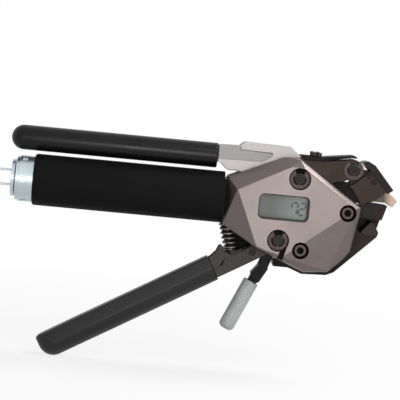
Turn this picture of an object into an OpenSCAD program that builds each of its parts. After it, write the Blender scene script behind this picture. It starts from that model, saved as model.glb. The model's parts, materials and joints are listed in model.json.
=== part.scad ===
// Hand strapping tensioner with a pull trigger, a release lever and a cut-off lever.
// The handle axis is X, the nose points to +X, Z is up and the display faces -Y.

/* [Handle] */
// Radius of the rubber sleeve on the handle
grip_r = 14; // [13:0.5:16]
// Length of the rubber sleeve
grip_len = 103; // [90:1:110]
// Outer radius of the handle tube
tube_r = 11; // [10.5:0.25:11.5]
// Wall of the handle tube
tube_wall = 2; // [1.5:0.25:2.5]
// Radius of the rear adjuster collar
collar_r = 12.5; // [12:0.25:13.5]
// Length of the rear adjuster collar
collar_len = 7.7; // [6:0.1:9]
// Radius of the tail disc
tail_r = 10; // [9:0.25:11]
// Wire diameter of the hanging loop
loop_wire = 1.2; // [1:0.1:1.5]
// Height between the two legs of the hanging loop
loop_gap = 8; // [7.5:0.25:9]
// Length of the hanging loop behind the tail disc
loop_len = 24; // [16:1:32]

/* [Housing] */
// Half width of the mid frame between the covers
frame_half = 8.5; // [8.3:0.1:9]
// Depth of each cover
cover_depth = 9.5; // [9:0.25:11]
// Thickness of the frame's side wall
cheek_t = 1.5; // [1.2:0.1:1.7]
// Radius of a cover screw's head
screw_head_r = 3.5; // [3:0.1:3.8]
// Height of a cover screw's head
screw_head_h = 4; // [3:0.25:4.5]
// Radius of a cover screw's shank
screw_r = 2; // [1.5:0.1:2.2]
// Length of a cover screw's shank
screw_len = 10; // [8:0.5:11]

/* [Display] */
// Width of the display window
window_w = 27.5; // [24:0.5:28]
// Height of the display window
window_h = 13.8; // [12:0.1:14]
// Depth of the display lens below the cover's face
lens_recess = 1; // [0.6:0.1:1.4]
// Thickness of the display lens
lens_t = 1; // [0.8:0.1:1.2]
// Thickness of the liquid crystal panel
lcd_t = 1.2; // [1:0.1:1.4]
// Width of the counter board
board_w = 31; // [29:0.5:32]
// Height of the counter board
board_h = 17.4; // [16:0.1:17.6]
// Thickness of the counter board
board_t = 1.2; // [0.8:0.1:1.6]
// Radius of the coin cell
cell_r = 6; // [5:0.25:6.5]
// Thickness of the coin cell
cell_t = 1.6; // [1.2:0.1:2]

/* [Pins] */
// Diameter of the main pivot pins
pin_d = 6; // [5:0.25:6.5]
// Radial running clearance on a pin
pin_clear = 0.06; // [0.04:0.01:0.1]
// Outer radius of a retaining clip
clip_r = 5.3; // [5:0.05:5.8]
// Thickness of a retaining clip
clip_t = 0.9; // [0.7:0.1:1.1]
// Depth of the pocket round a retaining clip
clip_pocket = 2.6; // [2.2:0.1:3]

/* [Trigger] */
// Angle of the trigger below the handle axis
trigger_angle = 30.5; // [29:0.5:32]
// Height of the trigger's side plates
trigger_h = 11; // [10:0.25:11.5]
// Thickness of the trigger's side plates
trigger_t = 1.5; // [1.2:0.1:1.6]
// Distance from the trigger pin to the far end of its grip
trigger_len = 142; // [130:1:150]
// Distance from the trigger pin to the near end of its grip
trigger_grip_start = 38; // [37:0.5:41]
// Height of the trigger grip
trigger_grip_h = 14.5; // [13.5:0.25:16]
// Width of the trigger grip
trigger_grip_w = 17; // [15:0.5:20]
// Outer diameter of the trigger's return spring
coil_od = 9.2; // [8.5:0.1:9.4]
// Wire diameter of the return spring
coil_wire = 1; // [0.8:0.05:1.1]
// Number of curls in the return spring
coil_turns = 6; // [4:1:7]
// Length of the return spring at rest
coil_len = 16; // [15.5:0.25:16.5]

/* [Drive] */
// Full-circle teeth of the trigger's sector gear
sector_teeth = 22; // [20:1:24]
// Teeth of the idler pinion
pinion_teeth = 12; // [11:1:13]
// Face width of the gears
gear_w = 5.6; // [4.5:0.1:5.8]
// Diameter of the pinion shaft
shaft_d = 4; // [3.5:0.25:4.5]
// Diameter of the pull rod
rod_d = 6; // [5:0.25:6.4]
// Wire diameter of the tension spring
tension_wire = 2.2; // [1.8:0.1:2.4]
// Mean radius of the tension spring
tension_r = 6.2; // [5.8:0.1:6.4]
// Number of curls in the tension spring
tension_turns = 16; // [12:1:18]
// Length of the tension spring
tension_len = 70; // [66:1:76]
// Diameter of the gripper pins
gripper_pin_d = 3; // [2.5:0.1:3.4]

/* [Release lever] */
// Radius of the release lever's soft cap
cap_r = 4.3; // [3.8:0.1:4.6]
// Thickness of the release lever's two ears
ear_t = 1.2; // [1:0.05:1.25]

/* [Cut-off lever] */
// Radius of the cut-off lever's grip
cutoff_grip_r = 6.75; // [6:0.05:6.8]
// Length of the cut-off lever's grip
cutoff_grip_len = 112; // [100:1:118]
// Width of the cut-off lever's arm
arm_w = 9.8; // [9:0.1:9.9]

/* [Nose] */
// Thickness of a nose plate
plate_t = 3.3; // [3:0.1:3.3]
// Radius of the nose plate round the cutter pin
plate_end_r = 5.5; // [5.3:0.1:5.8]
// Width of the cutter block
cutter_w = 16.8; // [15:0.1:16.8]
// Radius of the cutter's dowels
dowel_r = 1.5; // [1:0.1:1.7]
// Radius of the nose roller
roller_r = 3.7; // [3.4:0.05:3.8]
// Radius of the roller axle
axle_r = 1.5; // [1.2:0.1:1.8]
// Radius of the roller axle's heads
axle_head_r = 3.2; // [2.5:0.1:3.5]
// Height of the band channel
band_h = 1.8; // [1.4:0.1:2]

/* [Hidden] */
$fn = 48;
eps = 0.01;
// Side gap between bodies that move past each other
gap = 0.3;

// Pivots and screw places in the side view, as [x, z]
A = [88.2, 14.4];
B = [117.4, 21.6];
C = [127.1, -0.3];
D = [79.6, -19.6];
cover_screw_at = [[115.7, -1.6], [92.2, -24]];
rivet_at = [105.5, 8.2];
rivet_r = 1.6;
hold_pin_at = [106, -14];
move_pin_at = [96.5, 1.6];

// Handle stations along X
grip_x1 = 48.5;
grip_x0 = grip_x1 - grip_len;
collar_gap = 0.1;
collar_x1 = grip_x0 - collar_gap;
collar_x0 = collar_x1 - collar_len;
flange_t = 1.7;
flange_x0 = collar_x0 - flange_t;
tail_gap = 0.7;
tail_t = 1.8;
tail_x1 = flange_x0 - tail_gap;
tail_x0 = tail_x1 - tail_t;
neck_r = 4.6;
spigot_r = 7.5;
spigot_x1 = 57.5;
bulkhead_t = 4;
socket_x0 = grip_x1 + 0.2;
bore_r = tube_r - tube_wall;

// Cover and frame planes along Y
face_y = frame_half + cover_depth;
cheek_y = frame_half - cheek_t;
plate_y0 = frame_half - plate_t;
pocket_y = face_y - clip_pocket;
pin_end_y = face_y - 0.6;
pin_r = pin_d / 2;
pin_hole_r = pin_r + pin_clear;
clip_pocket_r = clip_r + 0.65;
groove_depth = 0.8;
clip_gap = 0.6;
clip_mouth = 33;
clip_prong = 1.8;
counterbore_r = screw_head_r + 1.1;
head_seat_y = face_y - 2.1 - screw_head_h;

// Trigger layout, measured along and square to the trigger
trigger_y1 = cheek_y - 0.6;
trigger_y0 = trigger_y1 - trigger_t;
seat_along = 24.5;
seat_up = 4.5;
spring_tilt = 15.8;
tang_h = 7;
tang_w = 9;
web_t = 1.6;
trigger_hub_r = 6;
boss_at = [35, 6];
boss_r = 6.5;
boss_t = 0.4;

// Gear train from the trigger to the rack
rack_line_z = 3.4;
pressure = 25;
addendum = 0.8;
dedendum = 1.15;
gear_play = 0.3;
drive_m = (rack_line_z - D[1]) / (sector_teeth / 2 + pinion_teeth);
sector_r = drive_m * sector_teeth / 2;
pinion_r = drive_m * pinion_teeth / 2;
P = [D[0], D[1] + sector_r + pinion_r];
pinion_step = 360 / pinion_teeth;
rack_pitch = PI * drive_m;
rack_shift = -(((180 + pinion_step / 2) % pinion_step) + pinion_step / 2) * PI / 180 * pinion_r;

// Gear pair from the cut-off lever to the cutter
hub_teeth = 15;
cutter_teeth = 45;
cut_m = 2 * norm(B - A) / (hub_teeth + cutter_teeth);
cut_dir = atan2(B[1] - A[1], B[0] - A[0]);

// Nose roller and band channel
roller_half = 4.6;
axle_head_t = 0.9;
band_top_z = -4.1;
band_low_z = band_top_z - band_h;

// Carriage stations
rod_r = rod_d / 2;
carriage_x0 = 63;
carriage_x1 = 98.8;
rack_top_z = 8;
yoke_half = 5.6;
yoke_top_z = 4.9;
washer_t = 2;
spring_x1 = grip_x1 - bulkhead_t - 6;
spring_x0 = spring_x1 - tension_len;
nut_len = 8;
rod_x0 = spring_x0 - washer_t - nut_len - 2;
rod_x1 = 69;

// Display stack, from the cover's face inwards
display_at = [81.05, -1.75];
lens_y = face_y - lens_recess;
board_y = lens_y - lens_t - lcd_t;

// Side-view outline points
cover_edge = [[50, 11.8], [79.3, 25], [88.3, 25.4], [123.9, 1.8], [120, -22.4], [116.5, -27.3],
              [108.4, -35], [95.3, -36.2], [82.2, -31.2], [69.4, -26.3], [49.4, -14]];
cover_step = [[88, 24.4], [122.8, 1.5], [118.8, -22], [107.9, -33.8], [95.4, -34.8], [83.4, -30.2]];
cover_face = [[55.3, 6], [83, 20.7], [90.5, 20.5], [119.9, 1], [83, -28], [68.5, -24.6]];
cover_pocket = [[63.5, 7.4], [72, 8.2], [96.5, 8.2], [104, 3], [104, -6], [97, -12.2], [64.5, -12.2]];
cheek_edge = [[socket_x0, -13.6], [50.2, -19], [53.2, -27], [58.5, -30.5], [66, -29], [70, -28.4],
              [78.9, -30.4], [78.9, -34.4], [87, -34.4], [94.5, -37.2],
              [108, -36.6], [112, -34.8], [133.6, -13.4], [134.6, -11], [135.3, -8.8], [138.6, 3.7],
              [128.6, 4.6], [122.8, 2.4], [112, 8.6], [88, 24.2], [79.6, 23.6], [socket_x0, 10.2]];
lower_wall = [[78.9, -34.4], [87, -34.4], [94.5, -37.2], [108, -36.6], [112, -34.8], [133.6, -13.4],
              [127, -13.2], [124.2, -12], [121.3, -9.2], [121.3, band_low_z], [113, band_low_z], [113, -10],
              [116, -19], [105, -29.5], [97, -31], [87, -30.4], [78.9, -30.4]];
nose_wall = [[103, band_top_z], [135.3, band_top_z], [137.6, 3.9], [128.6, 4.6], [122.8, 2.4],
             [118, 5.6], [110, 8.4], [103, 8.4]];
nose_rib = [[103.4, 7], [103.4, 12], [106, 14.6], [113.4, 15], [114.4, 12.6], [116, 11.5], [118.3, 8.8],
            [120.4, 5.5], [121.4, 3.4], [118, 4.6]];
nose_rib_y = gear_w / 2 + gap;
plate_top_z = 24.5;
plate_edge = [[83, 9], [82, 14.4], [83, 20], [86, plate_top_z], [100, plate_top_z], [112, 26.2],
              [B[0] - 0.5, B[1] + plate_end_r - 0.1], B + [1.3, 0.4], [B[0] - 1.5, B[1] - plate_end_r + 0.3],
              [112, 14.6], [108.5, 14.4], [106.5, 13.2], [109.5, 9.6], [108.8, 5.4], [103, 4.8], [96, 9]];
jaw_edge = [[129.2, band_low_z], [131, band_low_z], [134.2, -11], [133.6, -13.4], [127, -13.2],
            [124.2, -12]];
strip_top_z = plate_top_z + 2.5;
strip_edge = [[88.5, plate_top_z], [99, plate_top_z], [101, 24.9], [116, 27.9], [118.4, 27.8],
              [118.9, 28.4], [117, 29.4], [100, strip_top_z], [88.5, strip_top_z]];
strip_screw_x = [95.5, 98.3];
strip_screw_r = 0.8;
strip_head_r = 1.25;
arm_edge = [[43.8, 19], [45.5, 18.6], [48, 16], [50.5, 15], [54, 15.2], [66, 12.6], [80, 9.6],
            [A[0], 9.6], [A[0] + 5, 12], [A[0] + 4.5, 19], [89.3, 25.4], [83.3, 30.6], [57.5, 31.3],
            [55, 29], [43.8, 28.6]];
arm_recess = [[43, 21], [68, 21.5], [73, 25], [73, 26.1], [55.8, 26.6], [54, 32], [43, 32]];
cutter_edge = [[115.3, 12.8], [116.6, 12.2], [119, 9.4], [121.2, 6], [122.7, 3.2], [129.4, 5.5],
               [136.4, 11.4], [126.6, 21.7], [125.6, 20.6], [117.9, 13.8]];
cutter_web = [[116.2, 13.4], [117, 18], [121.5, 22.4], [126.6, 21.7], [122, 10]];
cutter_tongue = [[113.6, 14.5], [114, 12], [115.4, 10.6], [117.6, 8], [119.6, 5.3], [121.2, 4.2], [123, 6],
                 [118, 14.5]];
cap_edge = [[126.6, 21.7], [136.4, 11.4], [137.4, 10.4], [140.1, 12.6], [129.1, 25.1], [125.3, 27],
            [122.9, 26.5], [122.3, 25.6], [123.9, 24.8], [124.7, 23.4]];
blade_edge = [[129.4, 5.5], [136.8, 5.4], [140.4, 3.3], [142.6, 6.9], [139, 10.2], [137.4, 10.4],
              [136.4, 11.4]];
dowel_at = [[126, 19.3], [128.9, 16.2]];

// Turns a side-view shape into a slab between two Y planes
module slab(y0, y1) {
    translate([0, y1, 0]) rotate([90, 0, 0]) linear_extrude(y1 - y0) children();
}

// Round bar along Y
module bar_y(p, r, y0, y1) {
    translate([p[0], y1, p[1]]) rotate([90, 0, 0]) cylinder(r = r, h = y1 - y0);
}

// Round bar along X on the handle axis
module bar_x(r, x0, x1) {
    translate([x0, 0, 0]) rotate([0, 90, 0]) cylinder(r = r, h = x1 - x0);
}

// Side-view bar of one width with round ends
module link2d(p, q, w) {
    translate(p) circle(d = w);
    translate(q) circle(d = w);
    translate(p) rotate(atan2(q[1] - p[1], q[0] - p[0])) translate([0, -w / 2]) square([norm(q - p), w]);
}

// Rectangle with round corners, centred
module round_rect(w, h, r) {
    square([w - 2 * r, h], center = true);
    square([w, h - 2 * r], center = true);
    for (i = [-1, 1], j = [-1, 1]) translate([i * (w / 2 - r), j * (h / 2 - r)]) circle(r);
}

// Copies a shape to both sides of the mid plane
module both_sides() {
    children();
    mirror([0, 1, 0]) children();
}

// Places a shape in the trigger's own frame: X runs along it from its pin, Z square to it
module on_trigger() {
    translate([D[0], 0, D[1]]) rotate([0, 180 - trigger_angle, 0]) mirror([0, 0, 1]) children();
}

// Point in the side view from lengths along and square to the trigger
function trigger_point(along, up) = D + along * [-cos(trigger_angle), -sin(trigger_angle)]
    + up * [-sin(trigger_angle), cos(trigger_angle)];
seat_low = trigger_point(seat_along, seat_up);
seat_high = seat_low + coil_len * [-sin(spring_tilt), cos(spring_tilt)];

// Involute angle in degrees at pressure angle a
function involute(a) = tan(a) * 180 / PI - a;
function polar(r, a) = [r * cos(a), r * sin(a)];

// Half angle of a tooth at radius r
function tooth_half(r, z, m) = let (rp = m * z / 2, rb = rp * cos(pressure))
    90 / z - gear_play / 2 / rp * 180 / PI + involute(pressure) - involute(acos(min(1, rb / r)));

// Outline of the teeth from first to last, with a tooth centred on angle phase
function teeth_points(z, m, phase, first, last) = let (rp = m * z / 2, rb = rp * cos(pressure),
    radii = [rp - dedendum * m, max(rb, rp - dedendum * m + eps), rp, rp + addendum * m])
    [for (i = [first:last], side = [-1, 1], k = [0:3])
        let (r = radii[side < 0 ? k : 3 - k])
        polar(r, phase + i * 360 / z + side * tooth_half(max(r, rb), z, m))];

// One retaining ring lying against a plane at y, with its mouth up and three prongs in the pin's groove
module clip(p, y0) {
    groove_r = pin_r - groove_depth;
    slab(y0, y0 + clip_t) translate(p) difference() {
        union() {
            difference() {
                circle(clip_r);
                circle(pin_r + clip_gap);
                polygon([[0, 0], polar(2 * clip_r, 90 - clip_mouth), polar(2 * clip_r, 90 + clip_mouth)]);
            }
            for (a = [270, 90 - clip_mouth - 22, 90 + clip_mouth + 22]) rotate(a)
                translate([0, -clip_prong / 2]) square([pin_r + 2 * clip_gap, clip_prong]);
        }
        circle(groove_r);
    }
}

// Pin along Y with a groove for a clip near each end
module grooved_pin(p, end_y, groove_y) {
    difference() {
        bar_y(p, pin_r, -end_y, end_y);
        both_sides() difference() {
            bar_y(p, pin_r + 1, groove_y, groove_y + clip_t);
            bar_y(p, pin_r - groove_depth, groove_y - 1, groove_y + clip_t + 1);
        }
    }
}

// Centre line of a compression spring along Z with square ends
function coil_path(r, wire, turns, len) = let (n = turns * 8, rise = len - 2 * wire)
    concat([[r, 0, 0, 0]],
           [for (i = [0:n]) [r * cos(i * 45), r * sin(i * 45), wire + rise * i / n, i * 45]],
           [[r * cos(n * 45), r * sin(n * 45), len, n * 45]]);

// Least clear gap between the turns of a spring, measured on its centre points
function coil_gap(path, wire) = min([for (i = [1:len(path) - 2], j = [i + 5:1:len(path) - 2])
    norm([for (k = [0:2]) path[i][k] - path[j][k]])]) - wire;

// Wire of a spring swept along its centre line, with six sides
module coil(path, wire) {
    last = len(path) - 1;
    pts = [for (i = [0:last])
        let (a = path[max(0, i - 1)], b = path[min(last, i + 1)], d = [for (k = [0:2]) b[k] - a[k]],
             t = d / norm(d), e = [cos(path[i][3]), sin(path[i][3]), 0], n = cross(t, e))
        for (s = [0:5]) [for (k = [0:2]) path[i][k] + wire / 2 * (cos(s * 60) * e[k] + sin(s * 60) * n[k])]];
    faces = concat(
        [for (s = [1:4]) [0, s, s + 1]],
        [for (s = [1:4]) [last * 6, last * 6 + s + 1, last * 6 + s]],
        [for (i = [0:last - 1], s = [0:5]) [i * 6 + s, (i + 1) * 6 + s, i * 6 + (s + 1) % 6]],
        [for (i = [0:last - 1], s = [0:5])
            [i * 6 + (s + 1) % 6, (i + 1) * 6 + s, (i + 1) * 6 + (s + 1) % 6]]);
    polyhedron(pts, faces);
}
return_path = coil_path((coil_od - coil_wire) / 2, coil_wire, coil_turns, coil_len);
tension_path = coil_path(tension_r, tension_wire, tension_turns, tension_len);
echo(return_spring_gap = coil_gap(return_path, coil_wire));
echo(tension_spring_gap = coil_gap(tension_path, tension_wire));

// Blank of a nose plate between two Y planes
module plate_blank(y0, y1) {
    slab(y0, y1) polygon(plate_edge);
    bar_y(B, plate_end_r, y0, y1);
}

// Holes that the strip's screws need in plates and strip
module strip_screw_places() {
    both_sides() for (x = strip_screw_x) translate([x, (plate_y0 + frame_half) / 2, 0]) children();
}

// Block that takes the handle's spigot and the top of the return spring
module handle_block() {
    x1 = spigot_x1 + 1;
    slope = tan(spring_tilt);
    slab(-frame_half, cheek_y + eps)
        polygon([[socket_x0, seat_high[1] + (socket_x0 - seat_high[0]) * slope],
                 [x1, seat_high[1] + (x1 - seat_high[0]) * slope], [x1, 11], [socket_x0, 10.2]]);
    translate([seat_high[0], 0, seat_high[1]]) rotate([0, -spring_tilt, 0]) translate([0, 0, -2.4])
        cylinder(r = coil_od / 2 - coil_wire - 0.6, h = 4);
}

module frame_body() {
    color([0.1, 0.1, 0.1]) difference() {
        union() {
            slab(cheek_y, frame_half) polygon(cheek_edge);
            slab(-frame_half, cheek_y + eps) polygon(lower_wall);
            slab(-frame_half, cheek_y + eps) polygon(nose_wall);
            both_sides() slab(nose_rib_y, plate_y0 + eps) polygon(nose_rib);
            bar_y(cover_screw_at[1], screw_r + 1.7, -frame_half, cheek_y + eps);
            handle_block();
        }
        both_sides() plate_blank(plate_y0, frame_half + 1);
        bar_x(spigot_r, socket_x0 - 1, spigot_x1);
        bar_x(rod_r + 0.4, socket_x0 - 1, spigot_x1 + 2);
        bar_y(A, pin_r, cheek_y - 1, frame_half + 1);
        bar_y(D, pin_r, cheek_y - 1, frame_half + 1);
        bar_y(P, shaft_d / 2, cheek_y - 1, frame_half + 1);
        bar_y(hold_pin_at, gripper_pin_d / 2, cheek_y - 1, frame_half + 1);
        bar_y(rivet_at, rivet_r, -frame_half - 1, frame_half + 1);
        bar_y(C, axle_r, -frame_half - 1, frame_half + 1);
        bar_y(C, roller_r + 0.6, -roller_half - 0.4, roller_half + 0.4);
        both_sides() for (p = cover_screw_at)
            bar_y(p, screw_r, head_seat_y - screw_len, frame_half + 1);
    }
}

// Cover on the +Y side: a bevelled shell with bosses round its pins and screws
module cover_shell() {
    difference() {
        hull() {
            slab(frame_half, frame_half + 0.8) polygon(cover_edge);
            slab(face_y - 3.4, face_y - 3.2) polygon(cover_step);
            slab(face_y - 0.1, face_y) polygon(cover_face);
        }
        slab(frame_half - 1, board_y) polygon(cover_pocket);
        for (p = [A, D]) {
            bar_y(p, pin_r, frame_half - 1, face_y + 1);
            bar_y(p, clip_pocket_r, pocket_y, face_y + 1);
        }
        slab(pocket_y, face_y + 1) link2d(D + [3.6, -3], D + [1.4, -12], 3);
        for (p = cover_screw_at) {
            bar_y(p, screw_r + 0.2, frame_half - 1, face_y);
            bar_y(p, counterbore_r, head_seat_y, face_y + 1);
        }
    }
}

module front_cover() {
    color([0.56, 0.52, 0.51]) difference() {
        mirror([0, 1, 0]) cover_shell();
        translate([display_at[0], 0, display_at[1]]) slab(-face_y - 1, -frame_half)
            round_rect(window_w, window_h, 3);
    }
}

module rear_cover() {
    color([0.56, 0.52, 0.51]) cover_shell();
}

module cover_screws() {
    color([0.75, 0.75, 0.75]) both_sides() for (p = cover_screw_at) difference() {
        union() {
            bar_y(p, screw_head_r, head_seat_y, head_seat_y + screw_head_h);
            bar_y(p, screw_r, head_seat_y - screw_len, head_seat_y + eps);
        }
        translate([p[0], head_seat_y + screw_head_h + 1, p[1]]) rotate([90, 0, 0])
            cylinder(r = screw_r * 0.85, h = 3, $fn = 6);
    }
}

tube_x0 = collar_x0 + 1.3;

module handle_tube() {
    color([0.7, 0.7, 0.72]) difference() {
        union() {
            bar_x(tube_r, tube_x0, socket_x0);
            bar_x(spigot_r, socket_x0 - eps, spigot_x1);
        }
        bar_x(bore_r, tube_x0 - 1, grip_x1 - bulkhead_t);
        bar_x(rod_r + 0.4, tube_x0, spigot_x1 + 1);
    }
}

module handle_grip() {
    round_r = 1.2;
    ease = 0.3;
    color([0.06, 0.06, 0.06]) translate([grip_x0, 0, 0]) rotate([0, 90, 0]) rotate_extrude()
        polygon([[tube_r, 0], [grip_r - round_r, 0], [grip_r - ease, ease], [grip_r, round_r],
                 [grip_r, grip_len - round_r], [grip_r - ease, grip_len - ease],
                 [grip_r - round_r, grip_len], [tube_r, grip_len]]);
}

module adjuster_collar() {
    notch = 2.7;
    color([0.75, 0.8, 0.83]) difference() {
        union() {
            bar_x(collar_r, collar_x0, collar_x1);
            bar_x(collar_r - 0.7, flange_x0, collar_x0 + eps);
        }
        bar_x(tube_r + pin_clear, collar_x0 + 1, collar_x1 + 1);
        bar_x(neck_r + pin_clear, flange_x0 - 1, collar_x1);
        for (a = [0:60:300]) rotate([a, 0, 0])
            translate([collar_x0 + 1.4, -collar_r - 1, -notch / 2]) cube([notch, 2, notch]);
    }
}

plug_len = 9;
loop_y = loop_wire / 2 + 0.1;

module tail_plug() {
    color([0.7, 0.75, 0.78]) difference() {
        union() {
            bar_x(bore_r, tube_x0, tube_x0 + plug_len);
            bar_x(neck_r, tail_x0, tube_x0 + eps);
            bar_x(tail_r, tail_x0, tail_x1);
        }
        for (y = [-loop_y, loop_y], z = [-loop_gap / 2, loop_gap / 2])
            translate([tail_x0 - 1, y, z]) rotate([0, 90, 0]) cylinder(d = loop_wire, h = 1 + tail_t);
    }
}

module hanging_loop() {
    bend_x = tail_x0 - loop_len + loop_gap / 2;
    color([0.85, 0.85, 0.85]) for (y = [-loop_y, loop_y]) translate([0, y, 0]) {
        for (z = [-loop_gap / 2, loop_gap / 2])
            translate([bend_x, 0, z]) rotate([0, 90, 0]) cylinder(d = loop_wire, h = tail_x1 - bend_x);
        translate([bend_x, 0, 0]) rotate([90, 0, 0]) rotate([0, 0, 90])
            rotate_extrude(angle = 180) translate([loop_gap / 2, 0]) circle(d = loop_wire);
    }
}

module nose_plate() {
    difference() {
        plate_blank(plate_y0, frame_half);
        bar_y(A, pin_r, 0, frame_half + 1);
        bar_y(B, pin_r, 0, frame_half + 1);
        bar_y(rivet_at, rivet_r, 0, frame_half + 1);
        strip_screw_places() translate([0, 0, plate_top_z - 6]) cylinder(r = strip_screw_r, h = 7);
    }
}

module nose_plate_front() {
    color([0.3, 0.27, 0.26]) mirror([0, 1, 0]) nose_plate();
}

module nose_plate_rear() {
    color([0.3, 0.27, 0.26]) nose_plate();
}

module plate_rivet() {
    color([0.5, 0.5, 0.5]) bar_y(rivet_at, rivet_r, -frame_half, frame_half);
}

module cutoff_pin() {
    color([0.6, 0.58, 0.56]) grooved_pin(A, pin_end_y, pocket_y);
}

module trigger_pin() {
    color([0.6, 0.58, 0.56]) grooved_pin(D, pin_end_y, pocket_y);
}

cutter_pin_end = frame_half + clip_t + 1.2;

module cutter_pin() {
    color([0.6, 0.58, 0.56]) grooved_pin(B, cutter_pin_end, frame_half);
}

module cutoff_clips() {
    color([0.2, 0.19, 0.18]) both_sides() clip(A, pocket_y);
}

module trigger_clips() {
    color([0.2, 0.19, 0.18]) both_sides() clip(D, pocket_y);
}

module cutter_clips() {
    color([0.2, 0.19, 0.18]) both_sides() clip(B, frame_half);
}

module pinion_shaft() {
    color([0.6, 0.6, 0.6]) bar_y(P, shaft_d / 2, -frame_half + 0.2, frame_half);
}

module holding_gripper_pin() {
    color([0.6, 0.6, 0.6]) bar_y(hold_pin_at, gripper_pin_d / 2, -frame_half + 0.2, frame_half);
}

module roller_axle() {
    color([0.75, 0.74, 0.72]) {
        bar_y(C, axle_r, -frame_half - axle_head_t, frame_half + axle_head_t);
        both_sides() bar_y(C, axle_head_r, frame_half, frame_half + axle_head_t);
    }
}

module band_roller() {
    color([0.6, 0.6, 0.6]) difference() {
        bar_y(C, roller_r, -roller_half, roller_half);
        bar_y(C, axle_r + pin_clear, -roller_half - 1, roller_half + 1);
    }
}

module lower_jaw() {
    color([0.35, 0.31, 0.29]) slab(-frame_half, cheek_y) polygon(jaw_edge);
}

module hold_spring() {
    strip_half = frame_half - 0.1;
    color([0.12, 0.12, 0.12]) difference() {
        slab(-strip_half, strip_half) polygon(strip_edge);
        translate([80, -plate_y0 + 0.1, 20]) cube([20.5, 2 * plate_y0 - 0.2, 12]);
        strip_screw_places() translate([0, 0, 20]) cylinder(r = strip_screw_r, h = 10);
    }
}

module hold_screws() {
    color([0.75, 0.72, 0.7]) strip_screw_places() {
        translate([0, 0, plate_top_z - 5.5]) cylinder(r = strip_screw_r, h = strip_top_z - plate_top_z + 5.6);
        translate([0, 0, strip_top_z]) cylinder(r = strip_head_r, h = 2.2);
    }
}

// Rounded plate behind the display window
module window_plate(y_front, t, inset) {
    translate([display_at[0], 0, display_at[1]]) slab(-y_front, -y_front + t)
        round_rect(window_w - 2 * inset, window_h - 2 * inset, 3 - inset);
}

module display_lens() {
    color([0.7, 0.74, 0.72, 0.6]) window_plate(lens_y, lens_t, 0.05);
}

module lcd_panel() {
    color([0.5, 0.54, 0.52]) window_plate(lens_y - lens_t, lcd_t, 0.05);
}

module counter_board() {
    color([0.1, 0.3, 0.15]) slab(-board_y, -board_y + board_t)
        translate(display_at) square([board_w, board_h], center = true);
}

module coin_cell() {
    color([0.8, 0.8, 0.8]) bar_y(display_at, cell_r, -board_y + board_t, -board_y + board_t + cell_t);
}

module return_spring() {
    color([0.75, 0.75, 0.75]) translate([seat_low[0], 0, seat_low[1]]) rotate([0, -spring_tilt, 0])
        coil(return_path, coil_wire);
}

head_x0 = trigger_grip_start - 6;
tang_x1 = trigger_len - 14;

// Outline of a trigger plate along the trigger: low under the spring, with a horn beside it
trigger_low = seat_up - 2.4;
trigger_edge = [[0, -trigger_h / 2], [trigger_grip_start, -trigger_h / 2], [trigger_grip_start, 6], [36.5, 6.2],
                [32.6, 7.4], [30, 9.4], [28.6, 9.2], [27.8, 5.2], [26.6, 3], [24.6, trigger_low],
                [4, trigger_low], [0, trigger_hub_r]];

// Raised round boss on a trigger plate, where the grip starts
module trigger_boss() {
    slab(trigger_y1 - eps, trigger_y1 + boss_t) intersection() {
        union() {
            translate(boss_at) circle(boss_r);
            translate(boss_at - [0, boss_r]) square([trigger_grip_start - boss_at[0], boss_r]);
        }
        polygon(trigger_edge);
    }
}

module trigger_lever() {
    color([0.62, 0.6, 0.58]) difference() {
        union() {
            on_trigger() {
                both_sides() slab(trigger_y0, trigger_y1) {
                    circle(trigger_hub_r);
                    polygon(trigger_edge);
                }
                both_sides() trigger_boss();
                slab(-trigger_y0 - eps, trigger_y0 + eps) {
                    translate([seat_along - 5, 1]) square([10.5, seat_up - 2.2]);
                    translate([seat_along, -trigger_h / 2])
                        square([trigger_grip_start - seat_along, web_t]);
                    translate([head_x0, -tang_h / 2]) square([trigger_grip_start - head_x0, tang_h]);
                }
                slab(-tang_w / 2, tang_w / 2)
                    translate([head_x0, -tang_h / 2]) square([tang_x1 - head_x0, tang_h]);
            }
            translate([seat_low[0], 0, seat_low[1]]) rotate([0, -spring_tilt, 0]) {
                translate([0, 0, -3]) cylinder(r = coil_od / 2, h = 3);
                translate([0, 0, -eps]) cylinder(r = coil_od / 2 - coil_wire - 0.6, h = 2.4);
            }
        }
        bar_y(D, pin_hole_r, -frame_half, frame_half);
        bar_y(sector_rivet_at, sector_rivet_r, -frame_half, frame_half);
    }
}

sector_rivet_at = trigger_point(15, -1);
sector_rivet_r = 2;

module sector_gear() {
    color([0.45, 0.44, 0.43]) difference() {
        slab(-gear_w / 2, gear_w / 2) {
            translate(D) polygon(concat(teeth_points(sector_teeth, drive_m, 90, -1, 3), [[0, 0]]));
            translate(D) circle(5.5);
            link2d(D, sector_rivet_at, 7);
        }
        bar_y(D, pin_hole_r, -frame_half, frame_half);
        bar_y(sector_rivet_at, sector_rivet_r, -frame_half, frame_half);
    }
}

module sector_rivet() {
    color([0.5, 0.5, 0.5]) bar_y(sector_rivet_at, sector_rivet_r, -trigger_y1, trigger_y1);
}

module trigger_grip() {
    round_r = trigger_grip_w / 2;
    top_z = trigger_grip_h / 2;
    flat_z = round_r - top_z;
    end_x = trigger_len - round_r;
    color([0.15, 0.15, 0.16]) on_trigger() difference() {
        union() {
            slab(-round_r, round_r)
                translate([trigger_grip_start, flat_z]) square([end_x - trigger_grip_start, top_z - flat_z]);
            translate([0, 0, flat_z]) bar_x(round_r, trigger_grip_start, end_x);
            translate([end_x, 0, flat_z]) {
                sphere(round_r);
                cylinder(r = round_r, h = top_z - flat_z);
            }
        }
        translate([trigger_grip_start - 1, -round_r - 1, top_z])
            cube([trigger_len, 2 * round_r + 2, round_r]);
        slab(-tang_w / 2, tang_w / 2)
            translate([trigger_grip_start - 1, -tang_h / 2])
                square([tang_x1 - trigger_grip_start + 1, tang_h]);
    }
}

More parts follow.
